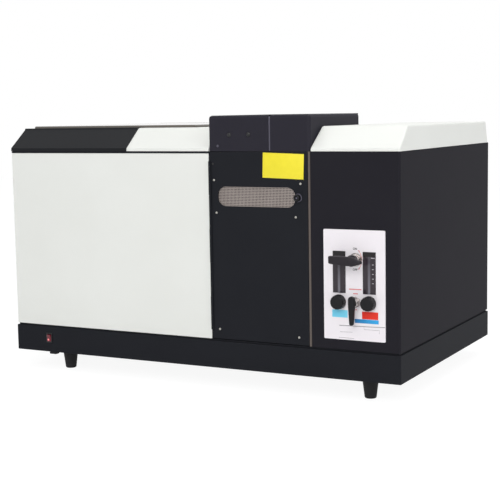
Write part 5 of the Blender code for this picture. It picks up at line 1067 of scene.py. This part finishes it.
# The lens, the angles in radians and the place were solved from the photograph's edges.
camera.data.sensor_width = 36.0
camera.data.lens = 86.709
yaw, tilt, roll = -0.485394593, -0.114468277, -0.0165065121
forward = Vector((math.sin(yaw) * math.cos(tilt), math.cos(yaw) * math.cos(tilt), math.sin(tilt)))
level = Vector((math.cos(yaw), -math.sin(yaw), 0))
upward = level.cross(forward)
right_hand = math.cos(roll) * level + math.sin(roll) * upward
upward = -math.sin(roll) * level + math.cos(roll) * upward
turn = Matrix((right_hand, upward, -forward)).transposed().to_4x4()
camera.matrix_world = Matrix.Translation((1.23494, -2.35991, 0.55418)) @ turn

floor_mesh = bpy.data.meshes.new("floor")
floor_mesh.from_pydata([(-6, -6, 0), (6, -6, 0), (6, 6, 0), (-6, 6, 0)], [], [(0, 1, 2, 3)])
floor = bpy.data.objects.new("floor", floor_mesh)
scene.collection.objects.link(floor)
# White board: matt, and partly self-lit to the camera, so that only the object's shadow shows.
floor_paint = mottled("matt white board", 0.9, 400.0, 2.0, "#FAFAFA", "#FFFFFF")
tree = floor_paint.node_tree


def seen_directly(tree):
    """1 for rays from the camera, also those through glass or off a mirror, and 0 for others."""
    path = add_node(tree, "ShaderNodeLightPath")
    direct = path.outputs["Is Camera Ray"]
    for kind in ("Is Transmission Ray", "Is Glossy Ray"):
        direct = add_node(tree, "ShaderNodeMath", {"operation": "MAXIMUM"},
                          {0: direct, 1: path.outputs[kind]}).outputs[0]
    return direct


seen = add_node(tree, "ShaderNodeMath", {"operation": "MULTIPLY", 1: 0.82}, {0: seen_directly(tree)})
bright = add_node(tree, "ShaderNodeEmission", {"Color": linear("#FFFFFF"), "Strength": 1.12})
joined = add_node(tree, "ShaderNodeMixShader", {},
                  {0: seen.outputs[0], 1: tree.nodes["Principled BSDF"].outputs[0],
                   2: bright.outputs[0]})
tree.links.new(joined.outputs[0], tree.nodes["Material Output"].inputs["Surface"])
floor_mesh.materials.append(floor_paint)

world = bpy.data.worlds.new("studio")
world.use_nodes = True
scene.world = world
tree = world.node_tree
soft = tree.nodes["Background"]
soft.inputs["Color"].default_value = linear("#F2F4F8")
soft.inputs["Strength"].default_value = 0.46
white = add_node(tree, "ShaderNodeBackground", {"Color": linear("#FFFFFF"), "Strength": 1.0})
joined = add_node(tree, "ShaderNodeMixShader", {}, {0: seen_directly(tree), 1: soft.outputs[0],
                  2: white.outputs[0]})
tree.links.new(joined.outputs[0], tree.nodes["World Output"].inputs["Surface"])

for name, spot, size, power in (("front softbox", (0.9, -3.4, 2.2), 2.2, 60.0),
                                ("right softbox", (3.2, -0.6, 1.8), 1.8, 21.0),
                                ("top softbox", (0.2, 0.2, 2.9), 2.4, 31.0)):
    lamp = bpy.data.lights.new(name, "AREA")
    lamp.shape = "SQUARE"
    lamp.size = size
    lamp.energy = power
    holder = bpy.data.objects.new(name, lamp)
    holder.location = spot
    aim_at = Vector((0, 0, 0.3)) - Vector(spot)
    holder.rotation_euler = aim_at.to_track_quat("-Z", "Y").to_euler()
    scene.collection.objects.link(holder)

scene.view_settings.view_transform = "Standard"

bpy.context.view_layer.update()
